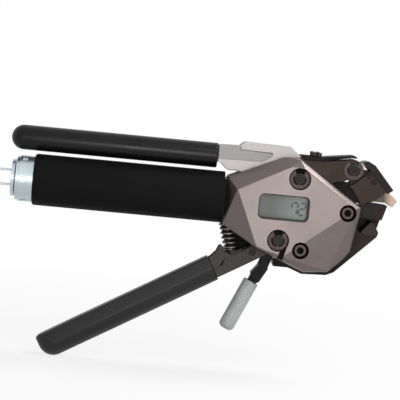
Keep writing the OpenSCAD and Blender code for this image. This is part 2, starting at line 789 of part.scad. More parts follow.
module idler_pinion() {
    color([0.5, 0.49, 0.48]) difference() {
        slab(-gear_w / 2, gear_w / 2) translate(P)
            polygon(teeth_points(pinion_teeth, drive_m, 270 + pinion_step / 2, 0, pinion_teeth - 1));
        bar_y(P, shaft_d / 2 + pin_clear, -frame_half, frame_half);
    }
}

// Side view of one rack tooth, pointing down from the root line
module rack_tooth() {
    half = rack_pitch / 4 - gear_play / 2;
    up = dedendum * drive_m + eps;
    down = addendum * drive_m;
    slope = tan(pressure);
    polygon([[-half - up * slope, up], [-half + down * slope, -down], [half - down * slope, -down],
             [half + up * slope, up]]);
}

module rack_carriage() {
    root_z = rack_line_z + dedendum * drive_m;
    bar_x0 = carriage_x0 + 3;
    bar_x1 = P[0] + 11.4;
    color([0.42, 0.4, 0.39]) difference() {
        union() {
            slab(-gear_w / 2, gear_w / 2) {
                translate([bar_x0, root_z]) square([bar_x1 - bar_x0, rack_top_z - root_z]);
                for (k = [-1:3]) translate([P[0] + rack_shift + k * rack_pitch + 2 * rack_pitch, rack_line_z])
                    rack_tooth();
            }
            slab(-4.5, 4.5) translate([carriage_x0, -4.5]) square([7.5, rack_top_z + 4.5]);
            slab(-yoke_half, yoke_half) translate([bar_x1 - 3, root_z]) square([3, rack_top_z - root_z]);
            both_sides() slab(yoke_half - 1.4, yoke_half)
                translate([bar_x1 - 3, -9]) square([carriage_x1 - bar_x1 + 3, yoke_top_z + 9]);
            slab(-yoke_half, yoke_half)
                translate([bar_x1, -9]) square([carriage_x1 - bar_x1, band_low_z + 8.9]);
        }
        bar_x(rod_r, carriage_x0 - 1, rod_x1);
        bar_y(move_pin_at, gripper_pin_d / 2, -yoke_half - 1, yoke_half + 1);
    }
}

module moving_gripper_pin() {
    color([0.6, 0.6, 0.6]) bar_y(move_pin_at, gripper_pin_d / 2, -yoke_half, yoke_half);
}

module moving_gripper() {
    half = yoke_half - 1.4 - gap;
    toe = [move_pin_at[0] - 2.6, band_top_z - 0.4];
    color([0.4, 0.38, 0.36]) difference() {
        slab(-half, half) {
            translate(move_pin_at) circle(3);
            polygon([move_pin_at + [-3, 0], toe + [-1, 1], toe, toe + [0.8, 0.5], toe + [1.6, 0.1],
                     toe + [2.4, 0.6], toe + [3.4, 0.9], move_pin_at + [3, 0]]);
        }
        bar_y(move_pin_at, gripper_pin_d / 2 + pin_clear, -frame_half, frame_half);
    }
}

module pull_rod() {
    color([0.7, 0.7, 0.7]) {
        bar_x(rod_r, rod_x0, rod_x1);
        difference() {
            bar_x(rod_r + 1.5, spring_x1 + washer_t, spring_x1 + washer_t + 2);
            bar_x(rod_r - 0.5, rod_x0, rod_x1);
        }
    }
}

module tension_spring() {
    color([0.35, 0.35, 0.37]) translate([spring_x0, 0, 0]) rotate([0, 90, 0])
        coil(tension_path, tension_wire);
}

module spring_washers() {
    color([0.7, 0.7, 0.7]) for (x = [spring_x0 - washer_t, spring_x1]) difference() {
        bar_x(bore_r - 0.5, x, x + washer_t);
        bar_x(rod_r, x - 1, x + washer_t + 1);
    }
}

module adjusting_nut() {
    x1 = spring_x0 - washer_t;
    color([0.72, 0.62, 0.35]) difference() {
        translate([x1 - nut_len, 0, 0]) rotate([0, 90, 0]) cylinder(r = bore_r - 1, h = nut_len, $fn = 6);
        bar_x(rod_r, rod_x0 - 1, x1 + 1);
    }
}

ear_y0 = gear_w / 2 + 0.4;
finger_tip = hold_pin_at + [-10, 2.8];
lever_block = [[71.4, -34.6], [76.2, -34.6], [76.7, -36.7], [72.4, -44.4], [70.2, -45.2], [68.2, -41.8],
               [67.4, -39.6]];
cap_top = [68.7, -43.8];
cap_low = [56.5, -71.5];
cap_dir = (cap_low - cap_top) / norm(cap_low - cap_top);
cap_end_r = 2.6;
cap_x0 = 0.6;
core_w = 4.4;

module release_lever() {
    block_half = ear_y0 + ear_t;
    color([0.08, 0.08, 0.08]) difference() {
        union() {
            both_sides() slab(ear_y0, ear_y0 + ear_t) {
                translate(D) circle(5);
                link2d(D, [73.4, -36.4], 5.4);
                link2d(D, finger_tip, 2.8);
            }
            slab(-block_half, block_half) polygon(lever_block);
            slab(-core_w / 2, core_w / 2) link2d(cap_top - 3 * cap_dir, cap_low - 4 * cap_dir, core_w);
        }
        bar_y(D, pin_hole_r, -frame_half, frame_half);
    }
}

// Places a bar along the release lever's cap, from its top
module along_cap(from) {
    p = cap_top + from * cap_dir;
    translate([p[0], 0, p[1]]) rotate([0, 90 - atan2(cap_dir[1], cap_dir[0]), 0]) children();
}

module release_cap() {
    length = norm(cap_low - cap_top) - cap_end_r;
    color([0.65, 0.66, 0.66]) difference() {
        along_cap(0) rotate_extrude() polygon(concat(
            [[0, cap_x0], [cap_r, cap_x0]],
            [for (a = [0:22.5:90]) [cap_r - cap_end_r, length] + polar(cap_end_r, a)],
            [[0, length + cap_end_r]]));
        slab(-core_w / 2, core_w / 2) link2d(cap_top - 3 * cap_dir, cap_low - 4 * cap_dir, core_w);
        slab(-frame_half, frame_half) polygon(lever_block);
    }
}

module holding_gripper() {
    half = 4.8;
    toe = [hold_pin_at[0] - 1.2, band_low_z + 0.4];
    tail_len = 10.2;
    color([0.4, 0.38, 0.36]) difference() {
        union() {
            bar_y(hold_pin_at, 3.4, -half, half);
            slab(-half, half)
                polygon([hold_pin_at + [-3.1, -0.7], toe + [-1, -0.8], toe, toe + [0.8, -0.5],
                         toe + [1.4, -0.1], toe + [2.4, -0.8], hold_pin_at + [3.1, -0.7]]);
            slab(-half, half) translate(hold_pin_at - [tail_len, 1.6]) square([tail_len - 0.5, 2.4]);
        }
        bar_y(hold_pin_at, gripper_pin_d / 2 + pin_clear, -frame_half, frame_half);
    }
}

cutoff_grip_z = 22.3;
cutoff_grip_x1 = 43.6;
cutoff_grip_x0 = cutoff_grip_x1 - cutoff_grip_len;
cutoff_tang_w = 6;
recess_t = 0.6;

// Tang of the cut-off lever inside its grip
module cutoff_tang() {
    slab(-cutoff_tang_w / 2, cutoff_tang_w / 2)
        translate([cutoff_grip_x0 + 14, cutoff_grip_z - 2.6]) square([cutoff_grip_len - 13, 5.2]);
}

module cutoff_arm() {
    hub_root = cut_m * (hub_teeth / 2 - dedendum);
    slot_half = gear_w / 2 + gap;
    color([0.82, 0.8, 0.79]) difference() {
        union() {
            difference() {
                slab(-arm_w / 2, arm_w / 2) {
                    polygon(arm_edge);
                    translate(A) circle(5.6);
                }
                both_sides() slab(arm_w / 2 - recess_t, arm_w / 2 + 1) polygon(arm_recess);
                slab(-slot_half, slot_half) translate(A) difference() {
                    polygon([[0, 0], polar(40, cut_dir - 40), polar(40, cut_dir), polar(40, cut_dir + 60),
                             polar(40, cut_dir + 96)]);
                    circle(hub_root - 1);
                }
            }
            slab(-gear_w / 2, gear_w / 2) translate(A)
                polygon(concat(teeth_points(hub_teeth, cut_m, cut_dir, -1, 3), [[0, 0]]));
            cutoff_tang();
        }
        bar_y(A, pin_hole_r, -frame_half, frame_half);
    }
}

module cutoff_grip() {
    color([0.06, 0.06, 0.06]) difference() {
        translate([0, 0, cutoff_grip_z]) {
            bar_x(cutoff_grip_r, cutoff_grip_x0 + cutoff_grip_r, cutoff_grip_x1);
            translate([cutoff_grip_x0 + cutoff_grip_r, 0, 0]) sphere(cutoff_grip_r);
        }
        cutoff_tang();
    }
}

cutter_hub_half = plate_y0 - 0.2;
tongue_half = gear_w / 2 - gap;

// Room in the cutter for the round ends of the nose plates
module plate_relief() {
    both_sides() bar_y(B, plate_end_r + 0.4, cutter_hub_half, frame_half + 1);
}

module cutter_block() {
    half = cutter_w / 2;
    color([0.35, 0.28, 0.26]) difference() {
        union() {
            difference() {
                slab(-half, half) polygon(cutter_edge);
                plate_relief();
            }
            bar_y(B, plate_end_r, -cutter_hub_half, cutter_hub_half);
            slab(-cutter_hub_half, cutter_hub_half) polygon(cutter_web);
            slab(-tongue_half, tongue_half) polygon(cutter_tongue);
            slab(-gear_w / 2, gear_w / 2) translate(B)
                polygon(concat(teeth_points(cutter_teeth, cut_m, cut_dir + 180 + 180 / cutter_teeth, -3, 0),
                               [[0, 0]]));
        }
        bar_y(B, pin_hole_r, -frame_half, frame_half);
        for (p = dowel_at) bar_y(p, dowel_r, -frame_half, frame_half);
    }
}

module cutter_cap() {
    color([0.1, 0.09, 0.09]) difference() {
        slab(-cutter_w / 2, cutter_w / 2) polygon(cap_edge);
        plate_relief();
    }
}

module cutter_dowels() {
    end = cutter_w / 2 - 0.8;
    color([0.2, 0.19, 0.18]) for (p = dowel_at) bar_y(p, dowel_r, -end, end);
}

module cutter_blade() {
    color([0.85, 0.75, 0.66]) slab(-cutter_w / 2 + 0.8, cutter_w / 2 - 0.8) polygon(blade_edge);
}

frame_body();
front_cover();
rear_cover();
cover_screws();
handle_tube();
handle_grip();
tail_plug();
hanging_loop();
nose_plate_front();
nose_plate_rear();
plate_rivet();
cutoff_pin();
cutoff_clips();
trigger_pin();
trigger_clips();
cutter_pin();
cutter_clips();
pinion_shaft();
holding_gripper_pin();
roller_axle();
lower_jaw();
hold_spring();
hold_screws();
display_lens();
lcd_panel();
counter_board();
coin_cell();
return_spring();
trigger_lever();
sector_gear();
sector_rivet();
trigger_grip();
idler_pinion();
rack_carriage();
pull_rod();
tension_spring();
spring_washers();
adjusting_nut();
moving_gripper();
moving_gripper_pin();
release_lever();
release_cap();
holding_gripper();
cutoff_arm();
cutoff_grip();
cutter_block();
cutter_cap();
cutter_dowels();
cutter_blade();
band_roller();
adjuster_collar();
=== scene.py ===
"""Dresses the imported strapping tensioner: eased edges, rubber grips, wound springs, display and stage."""

import itertools
import json
import math

import bmesh
import bpy
from bpy.props import FloatProperty, FloatVectorProperty, IntProperty, PointerProperty
from mathutils import Matrix, Vector

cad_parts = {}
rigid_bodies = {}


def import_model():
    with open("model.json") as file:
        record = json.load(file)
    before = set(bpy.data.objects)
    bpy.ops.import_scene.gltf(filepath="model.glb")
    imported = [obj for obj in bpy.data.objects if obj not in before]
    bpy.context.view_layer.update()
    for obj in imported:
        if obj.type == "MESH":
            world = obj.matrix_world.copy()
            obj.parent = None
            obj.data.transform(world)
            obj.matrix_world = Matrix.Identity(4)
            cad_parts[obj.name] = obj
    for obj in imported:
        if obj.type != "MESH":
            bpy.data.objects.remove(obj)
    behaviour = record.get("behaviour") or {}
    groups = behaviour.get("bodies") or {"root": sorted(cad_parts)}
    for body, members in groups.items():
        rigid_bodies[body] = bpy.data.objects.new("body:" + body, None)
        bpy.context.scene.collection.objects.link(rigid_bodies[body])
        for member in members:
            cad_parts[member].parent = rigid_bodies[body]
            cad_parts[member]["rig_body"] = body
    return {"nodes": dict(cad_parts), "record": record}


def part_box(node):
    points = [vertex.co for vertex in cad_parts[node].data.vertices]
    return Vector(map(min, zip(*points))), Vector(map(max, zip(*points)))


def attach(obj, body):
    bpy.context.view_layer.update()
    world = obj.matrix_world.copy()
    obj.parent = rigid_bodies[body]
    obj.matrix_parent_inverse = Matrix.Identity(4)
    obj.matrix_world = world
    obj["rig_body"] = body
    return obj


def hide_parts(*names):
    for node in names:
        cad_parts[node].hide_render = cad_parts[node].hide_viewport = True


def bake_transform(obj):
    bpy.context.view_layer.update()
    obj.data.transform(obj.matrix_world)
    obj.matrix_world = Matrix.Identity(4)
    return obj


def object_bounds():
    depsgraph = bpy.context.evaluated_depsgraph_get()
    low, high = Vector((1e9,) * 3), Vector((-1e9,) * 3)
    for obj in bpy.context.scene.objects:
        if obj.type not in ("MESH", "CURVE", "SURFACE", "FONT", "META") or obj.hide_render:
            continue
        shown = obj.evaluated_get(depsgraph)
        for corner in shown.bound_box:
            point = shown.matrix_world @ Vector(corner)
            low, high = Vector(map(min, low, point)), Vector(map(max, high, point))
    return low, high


bl_info = {
    "name": "Strapping tensioner dressing",
    "version": (1, 0, 0),
    "blender": (4, 5, 0),
    "location": "3D View > Sidebar > Tensioner",
    "description": "Builds the finished look of a hand strapping tensioner round its CAD frame",
    "category": "Object",
}

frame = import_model()
CAD_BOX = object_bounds()
SLOT_OF = {part["node"]: part["material_slot"] for part in frame["record"]["subparts"]}
MM = 0.001
# Distance up to which points are merged
MERGE = 0.002 * MM
# Turn past which an edge counts as sharp
SHARP = math.radians(25)
# Turn up to which two faces count as facing the same way
FAINT = math.radians(4)
# Turn up to which triangles are joined into one face
FLAT = math.radians(0.4)
# Turn up to which a made mesh is shaded softly
SOFT = math.radians(40)

# Places shared with the part, in its frame
TRIGGER_PIN = Vector((79.6, 0, -19.6)) * MM
TRIGGER_ANGLE = math.radians(30.5)
TRIGGER_ALONG = Vector((-math.cos(TRIGGER_ANGLE), 0, -math.sin(TRIGGER_ANGLE)))
TRIGGER_UP = Vector((-math.sin(TRIGGER_ANGLE), 0, math.cos(TRIGGER_ANGLE)))
SEAT_ALONG = 24.5 * MM
SEAT_UP = 4.5 * MM
SPRING_TILT = math.radians(15.8)
CAP_TOP = Vector((68.7, 0, -43.8)) * MM
CAP_LOW = Vector((56.5, 0, -71.5)) * MM
DISPLAY_AT = Vector((81.05, 0, -1.75)) * MM
COVER_FACE_Y = 18 * MM
SLEEVE_GAP = 0.15 * MM
ARM_HALF = 4.9 * MM
COVER_SCREWS = ((115.7 * MM, -1.6 * MM), (92.2 * MM, -24 * MM))
STRIP_SCREW_X = (95.5 * MM, 98.3 * MM)

# Depths by which sunk faces are told from outer ones, and the reach of a cover screw's socket; the faces
# they pick get painted shade
RECESS_LEAST = 0.3 * MM
RECESS_MOST = 0.9 * MM
POCKET_LEAST = 0.6 * MM
SOCKET_REACH = 1.98 * MM


def length(name, description, value_mm):
    """A size property whose default is given in millimetres."""
    return FloatProperty(name=name, description=description, default=value_mm * MM, unit="LENGTH",
                         precision=5)


def angle(name, description, degrees):
    """An angle property whose default is given in degrees."""
    return FloatProperty(name=name, description=description, default=math.radians(degrees), subtype="ANGLE")


def power(name, description, watts):
    """The power property of a lamp."""
    return FloatProperty(name=name, description=description, default=watts, unit="POWER")


def colour(name, description, rgb):
    """A linear colour property."""
    return FloatVectorProperty(name=name, description=description, default=rgb, size=3, min=0, max=1,
                               subtype="COLOR")


class EdgeSettings(bpy.types.PropertyGroup):
    """Sizes of the eased edges on the metal parts."""

    fold: length("Cover fold", "Rounding of the covers' long folds", 1.3)
    casting: length("Casting edge", "Rounding of cast edges", 0.6)
    plate: length("Plate edge", "Rounding of stamped and milled edges", 0.25)
    fine: length("Fine edge", "Rounding of clips and small hardware", 0.15)
    pin: length("Pin edge", "Rubbed chamfer on the ends of the pivot pins", 0.45)
    steps: IntProperty(name="Steps", description="Faces across one rounding", default=3, min=1)


class GripSettings(bpy.types.PropertyGroup):
    """Shapes of the soft grips."""

    sleeve_round: length("Sleeve end", "Rounding of the handle sleeve's ends", 1.2)
    lip: length("Lip", "Rounding of a dipped grip's open end", 0.8)
    trigger_corner: length("Trigger corner", "Rounding of the trigger grip's upper corners", 1.6)
    trigger_crest: FloatProperty(name="Trigger crest", default=0.68, subtype="FACTOR",
                                 description="Share of the trigger grip's width at its top")
    trigger_end: length("Trigger end", "Rounding of the trigger grip's upper far end", 3)
    cap_end: length("Cap end", "Rounding of the release cap's closed end", 2.6)
    sides: IntProperty(name="Sides", description="Faces round a grip", default=64, min=12)


class SpringSettings(bpy.types.PropertyGroup):
    """Sizes of the two wound springs."""

    return_radius: length("Return radius", "Mean radius of the trigger's return spring", 4.1)
    return_wire: length("Return wire", "Wire diameter of the return spring", 1.0)
    return_length: length("Return length", "Length of the return spring at rest", 16)
    return_turns: FloatProperty(name="Return turns", description="Turns of the return spring", default=7)
    tension_radius: length("Tension radius", "Mean radius of the tension spring in the handle", 6.2)
    tension_wire: length("Tension wire", "Wire diameter of the tension spring", 2.2)
    tension_turns: FloatProperty(name="Tension turns", description="Turns of the tension spring", default=17)


class DisplaySettings(bpy.types.PropertyGroup):
    """Layout of the counter's display."""

    # The gasket is a dark rim of painted shade where the window's recess wall and its shadow show
    window_shade: length("Gasket", "Width of the dark gasket round the window", 0.8)
    digit_width: length("Digit width", "Width of a digit", 3.2)
    digit_pitch: length("Digit pitch", "Distance between digits", 4.2)
    digit_place: length("Digit place", "Distance from the window's middle to the last digit", 9.9)
    stroke: length("Stroke", "Width of a digit's segment", 1.05)
    slant: angle("Slant", "Lean of the digits", 8)


class FinishSettings(bpy.types.PropertyGroup):
    """Colours of the finishes."""

    cover: colour("Cover", "Satin gunmetal on the covers", (0.15, 0.1255, 0.122))
    # The black colour also serves as painted shade in pockets, sockets and the rim round the display
    black: colour("Black paint", "Satin black on the mid frame and release lever", (0.008, 0.0068, 0.0066))
    sleeve: colour("Sleeve", "Matte black rubber of the handle", (0.006, 0.0058, 0.0058))
    lever: colour("Lever vinyl", "Dipped black vinyl of the cut-off grip", (0.005, 0.0048, 0.0048))
    trigger: colour("Trigger vinyl", "Grained black vinyl of the trigger grip", (0.011, 0.0103, 0.01))
    cap: colour("Cap vinyl", "Light grey vinyl of the release cap", (0.34, 0.352, 0.352))
    zinc: colour("Zinc", "Zinc plate of the rear collar", (0.5, 0.57, 0.6))
    arm: colour("Arm", "Blasted aluminium of the cut-off arm", (0.42, 0.394, 0.39))
    # The recess colour is painted shade: a darker alloy on the recess floor, where shade falls
    recess: colour("Recess", "Painted shade in the arm's recess", (0.3, 0.29, 0.29))
    steel: colour("Steel", "Bright steel hardware", (0.42, 0.395, 0.38))
    lever_steel: colour("Lever steel", "Tumbled steel of the trigger", (0.036, 0.033, 0.03))
    clip_steel: colour("Clip steel", "Phosphated spring steel of the clips", (0.056, 0.042, 0.04))
    spring_steel: colour("Spring steel", "Oiled spring wire", (0.2, 0.188, 0.18))
    screw_steel: colour("Screw steel", "Worn black steel of the cover screws", (0.036, 0.027, 0.024))
    nose: colour("Nose steel", "Oil-blacked steel of the nose", (0.03, 0.0225, 0.0208))
    black_steel: colour("Black steel", "Black oxide steel", (0.014, 0.0126, 0.0126))
    blade: colour("Blade", "Ground, straw-tinted blade steel", (0.3, 0.21, 0.16))
    brass: colour("Brass", "Turned brass of the adjusting nut", (0.6, 0.42, 0.16))
    lcd: colour("Display", "Grey-green of the liquid crystal panel", (0.2, 0.216, 0.208))
    segment: colour("Segment", "Dark blue-green of a lit segment", (0.014, 0.031, 0.041))
    board: colour("Board", "Green solder mask", (0.02, 0.14, 0.05))


class StageSettings(bpy.types.PropertyGroup):
    """Camera, light and floor."""

    aim: FloatVectorProperty(name="Aim", description="Point in the middle of the picture", size=3,
                             default=(0.0361, -0.009, -0.0023), subtype="TRANSLATION")
    distance: length("Distance", "Distance from the aim to the camera", 1000)
    field: length("Field", "Width of the picture at the aim", 216)
    azimuth: angle("Azimuth", "Turn of the camera round the tool", -2)
    elevation: angle("Elevation", "Height angle of the camera", 3.5)
    roll: angle("Roll", "Tilt of the camera about its line of sight", 5.5)
    key_power: power("Key", "Power of the light from the upper right", 5)
    rim_power: power("Rim", "Power of the light from above and behind", 5)
    front_power: power("Front", "Power of the light beside the camera", 2)
    ambient: FloatProperty(name="Ambient", description="Strength of the even light", default=0.12)
    floor: colour("Floor", "Pale floor", (0.86, 0.86, 0.86))


class Finish:
    """A node material in the making: one shader, with patterns on Object coordinates that vary it."""

    def __init__(self, name, base, metallic=0.0, roughness=0.5, **sockets):
        self.material = bpy.data.materials.new(name)
        self.material.use_nodes = True
        self.nodes = self.material.node_tree.nodes
        self.links = self.material.node_tree.links
        self.shader = self.nodes["Principled BSDF"]
        self.base = Vector(base)
        self.shader.inputs["Base Color"].default_value = (*base, 1)
        self.shader.inputs["Metallic"].default_value = metallic
        self.shader.inputs["Roughness"].default_value = roughness
        for socket, value in sockets.items():
            self.shader.inputs[socket.replace("_", " ")].default_value = value
        self.place = self.nodes.new("ShaderNodeTexCoord").outputs["Object"]

    def grain(self, per_metre, stretch=(1, 1, 1), detail=3.0):
        """Noise with about so many spots to a metre, drawn out by stretch."""
        mapping = self.nodes.new("ShaderNodeMapping")
        mapping.inputs["Scale"].default_value = stretch
        noise = self.nodes.new("ShaderNodeTexNoise")
        noise.inputs["Scale"].default_value = per_metre
        noise.inputs["Detail"].default_value = detail
        self.links.new(self.place, mapping.inputs["Vector"])
        self.links.new(mapping.outputs["Vector"], noise.inputs["Vector"])
        return noise.outputs["Fac"]

    def ramp_along(self, axis, start, end):
        """A ramp from 0 to 1 between two places along an axis, in metres."""
        split = self.nodes.new("ShaderNodeSeparateXYZ")
        self.links.new(self.place, split.inputs["Vector"])
        return self.spread(split.outputs[axis], 0, 1, start, end)

    def spread(self, pattern, low, high, start=0.3, end=0.7):
        """Stretches a pattern to the values low to high."""
        node = self.nodes.new("ShaderNodeMapRange")
        node.inputs["From Min"].default_value = start
        node.inputs["From Max"].default_value = end
        node.inputs["To Min"].default_value = low
        node.inputs["To Max"].default_value = high
        self.links.new(pattern, node.inputs["Value"])
        return node.outputs["Result"]

    def blend(self, one, other, share):
        """Mixes two patterns."""
        node = self.nodes.new("ShaderNodeMix")
        node.inputs["Factor"].default_value = share
        self.links.new(one, node.inputs["A"])
        self.links.new(other, node.inputs["B"])
        return node.outputs["Result"]

    def tint(self, pattern, dark, light, other=None):
        """Varies the colour between shares of it, or towards a share of another colour."""
        node = self.nodes.new("ShaderNodeMix")
        node.data_type = "RGBA"
        colour_a, colour_b = (s for s in node.inputs if s.type == "RGBA")
        colour_a.default_value = (*(self.base * dark), 1)
        colour_b.default_value = (*(Vector(other or self.base) * light), 1)
        self.links.new(self.spread(pattern, 0, 1), node.inputs["Factor"])
        result = next(s for s in node.outputs if s.type == "RGBA")
        self.links.new(result, self.shader.inputs["Base Color"])
        return self

    def gloss(self, pattern, low, high):
        """Varies the roughness."""
        self.links.new(self.spread(pattern, low, high), self.shader.inputs["Roughness"])
        return self

    def relief(self, pattern, depth, strength=0.6):
        """Raises the surface by up to depth, in metres."""
        bump = self.nodes.new("ShaderNodeBump")
        bump.inputs["Strength"].default_value = strength
        bump.inputs["Distance"].default_value = depth
        self.links.new(pattern, bump.inputs["Height"])
        self.links.new(bump.outputs["Normal"], self.shader.inputs["Normal"])
        return self


ALONG_X = (0.05, 1, 1)
ALONG_Z = (1, 1, 0.05)


def satin_metal(name, base, metallic, low, high, stretch, depth=0.006 * MM):
    """Brushed or ground metal with cloudy gloss."""
    made = Finish(name, base, metallic)
    lines = made.grain(2600, stretch)
    cloud = made.grain(70)
    made.tint(made.blend(lines, cloud, 0.45), 0.86, 1.14)
    made.gloss(made.blend(cloud, lines, 0.4), low, high)
    return made.relief(lines, depth).material


def blacked_metal(name, base, metallic, low, high):
    """Oil-blacked steel with brownish clouds and a fine grain."""
    made = Finish(name, base, metallic, Specular_IOR_Level=0.05)
    fine = made.grain(1900)
    cloud = made.grain(140, detail=5)
    made.tint(made.blend(cloud, fine, 0.4), 0.66, 1.4)
    made.gloss(cloud, low, high)
    return made.relief(fine, 0.012 * MM).material


def pebbled(name, base, per_metre, depth, low, high, **sockets):
    """Moulded or dipped skin with a pebbled grain and faint handling marks."""
    made = Finish(name, base, **sockets)
    pebble = made.grain(per_metre, detail=2)
    marks = made.grain(55, detail=5)
    made.tint(made.blend(pebble, marks, 0.5), 0.62, 1.45)
    made.gloss(made.blend(marks, pebble, 0.35), low, high)
    return made.relief(pebble, depth).material


def cover_paint(name, base):
    """Satin gunmetal with a faint lengthwise grain."""
    made = Finish(name, base, metallic=0.95)
    lines = made.grain(1500, ALONG_X)
    cloud = made.grain(45)
    made.tint(made.blend(lines, cloud, 0.5), 0.91, 1.09)
    made.gloss(made.blend(cloud, lines, 0.3), 0.36, 0.46)
    return made.relief(made.grain(2400), 0.006 * MM).material


def frame_paint(name, base, worn):
    """Satin black, worn to brown steel towards the nose."""
    made = Finish(name, base, metallic=0.1, Specular_IOR_Level=0.05)
    pebble = made.grain(1300, detail=2)
    nose = made.blend(made.ramp_along("X", 104 * MM, 132 * MM), made.grain(160, detail=5), 0.25)
    made.tint(nose, 1.0, 0.8, worn)
    made.gloss(made.grain(55, detail=5), 0.32, 0.5)
    return made.relief(pebble, 0.01 * MM).material


def blade_metal(name, base):
    """Ground steel, brown by the block and straw-coloured towards the cutting edge."""
    made = Finish(name, base, metallic=0.6)
    lines = made.grain(2600, ALONG_X)
    made.tint(made.blend(made.ramp_along("X", 133 * MM, 141 * MM), lines, 0.2), 0.14, 1.0)
    made.gloss(made.grain(90), 0.28, 0.42)
    return made.relief(lines, 0.006 * MM).material


def display_lens(name):
    """Clear window with a little dust."""
    made = Finish(name, (0.2, 0.22, 0.21), Alpha=0.07, Specular_IOR_Level=0.1)
    return made.gloss(made.grain(500), 0.08, 0.2).material


def display_panel(name, base):
    """Reflective liquid crystal with painted light and shade: darker on the left, paler towards the digits
    on the right.
    """
    made = Finish(name, base, Specular_IOR_Level=0.1)
    x0 = DISPLAY_AT.x
    # Painted light and shade: a ramp from dark on the left to pale on the right
    side = made.ramp_along("X", x0 - 12 * MM, x0 + 12 * MM)
    made.tint(made.blend(side, made.grain(1400), 0.25), 0.72, 1.3)
    return made.gloss(made.grain(300), 0.3, 0.4).material


FINISHES = {
    "cover_paint": lambda c: cover_paint("gunmetal_paint", c.cover),
    "black_paint": lambda c: pebbled("satin_black_paint", c.black, 1300, 0.01 * MM, 0.3, 0.48,
                                     Specular_IOR_Level=0.07),
    "frame_paint": lambda c: frame_paint("worn_black_paint", c.black, c.nose),
    "handle_rubber": lambda c: pebbled("sleeve_rubber", c.sleeve, 2300, 0.07 * MM, 0.55, 0.75,
                                       Specular_IOR_Level=0.06),
    "lever_vinyl": lambda c: pebbled("dipped_vinyl", c.lever, 900, 0.012 * MM, 0.26, 0.4,
                                     Specular_IOR_Level=0.2),
    "trigger_rubber": lambda c: pebbled("trigger_vinyl", c.trigger, 1600, 0.045 * MM, 0.42, 0.58,
                                        Specular_IOR_Level=0.3, Sheen_Weight=0.05,
                                        Sheen_Tint=(0.6, 0.7, 0.85, 1)),
    "grey_vinyl": lambda c: pebbled("cap_vinyl", c.cap, 1500, 0.02 * MM, 0.45, 0.6),
    "zinc_plate": lambda c: satin_metal("zinc_plating", c.zinc, 0.9, 0.24, 0.42, (1, 1, 1)),
    "arm_alloy": lambda c: satin_metal("blasted_alloy", c.arm, 0.3, 0.42, 0.55, (1, 1, 1), 0.012 * MM),
    "arm_recess": lambda c: satin_metal("cast_alloy", c.recess, 0.3, 0.5, 0.62, (1, 1, 1), 0.02 * MM),
    "tube_alloy": lambda c: satin_metal("drawn_alloy", c.arm, 1.0, 0.28, 0.42, ALONG_X),
    "bright_steel": lambda c: satin_metal("bright_steel_finish", c.steel, 0.95, 0.22, 0.38, ALONG_Z),
    "screw_steel": lambda c: satin_metal("worn_black_steel", c.screw_steel, 0.8, 0.26, 0.42, (1, 1, 1)),
    # The socket finish is painted shade: near-black on the walls and floors of cover pockets and screw
    # sockets
    "socket": lambda c: blacked_metal("socket_shade", c.black, 0.3, 0.5, 0.7),
    "lever_steel": lambda c: blacked_metal("tumbled_steel", c.lever_steel, 0.6, 0.36, 0.52),
    "clip_steel": lambda c: blacked_metal("phosphated_steel", c.clip_steel, 0.6, 0.34, 0.5),
    "spring_steel": lambda c: satin_metal("oiled_wire", c.spring_steel, 0.9, 0.26, 0.4, (1, 1, 1)),
    "dark_steel": lambda c: blacked_metal("oil_blacked_steel", c.nose, 0.6, 0.34, 0.55),
    "black_steel": lambda c: blacked_metal("black_oxide", c.black_steel, 0.6, 0.28, 0.45),
    "blade_steel": lambda c: blade_metal("straw_tinted_steel", c.blade),
    "nut_brass": lambda c: satin_metal("turned_brass", c.brass, 1.0, 0.22, 0.36, ALONG_Z),
    "lens_clear": lambda c: display_lens("window_clear"),
    "lcd_grey": lambda c: display_panel("liquid_crystal", c.lcd),
    "segment": lambda c: pebbled("lit_segment", c.segment, 2500, 0.002 * MM, 0.4, 0.5),
    # Near-black rim round the display window, which is painted shade
    "window_shade": lambda c: pebbled("gasket_rubber", c.black, 1800, 0.02 * MM, 0.5, 0.7),
    "board_green": lambda c: pebbled("solder_mask", c.board, 700, 0.01 * MM, 0.25, 0.4),
    "cell_steel": lambda c: satin_metal("cell_can", c.steel, 1.0, 0.2, 0.34, (1, 1, 1)),
}
# Nodes whose finish isn't the one named by their slot
FINISH_OF = {
    **dict.fromkeys(("cutoff_pin", "trigger_pin", "cutter_pin"), "black_steel"),
    **dict.fromkeys(("roller_axle", "sector_rivet", "cutter_dowels"), "black_steel"),
    **dict.fromkeys(("cutoff_clips", "trigger_clips", "cutter_clips"), "clip_steel"),
    **dict.fromkeys(("frame_body", "hold_spring"), "frame_paint"),
    "trigger_lever": "lever_steel",
    "hanging_loop": "zinc_plate",
}
made_finishes = {}


def settings():
    """The scene's settings for the tool."""
    return bpy.context.scene.tensioner


def finish(kind):
    """The material of a finish, made at its first use."""
    if kind not in made_finishes:
        made_finishes[kind] = FINISHES[kind](settings().finish)
    return made_finishes[kind]


def finish_of(node):
    """The material of a CAD node."""
    return finish(FINISH_OF.get(node, SLOT_OF[node]))


def add_piece(name, mesh, body, kind, replaces=()):
    """Shows a finished mesh as a piece that moves with a body, where one is given."""
    if not mesh.materials:
        mesh.materials.append(finish(kind))
    piece = bpy.data.objects.new(name, mesh)
    bpy.context.scene.collection.objects.link(piece)
    if body:
        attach(piece, body)
    if replaces:
        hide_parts(*replaces)
    return piece


def mesh_from(name, form, smooth_angle=SOFT):
    """Turns a bmesh into a mesh with outward faces and soft shading."""
    bmesh.ops.remove_doubles(form, verts=form.verts, dist=MERGE)
    bmesh.ops.recalc_face_normals(form, faces=form.faces)
    mesh = bpy.data.meshes.new(name)
    form.to_mesh(mesh)
    form.free()
    mesh.shade_smooth()
    mesh.set_sharp_from_angle(angle=smooth_angle)
    return mesh


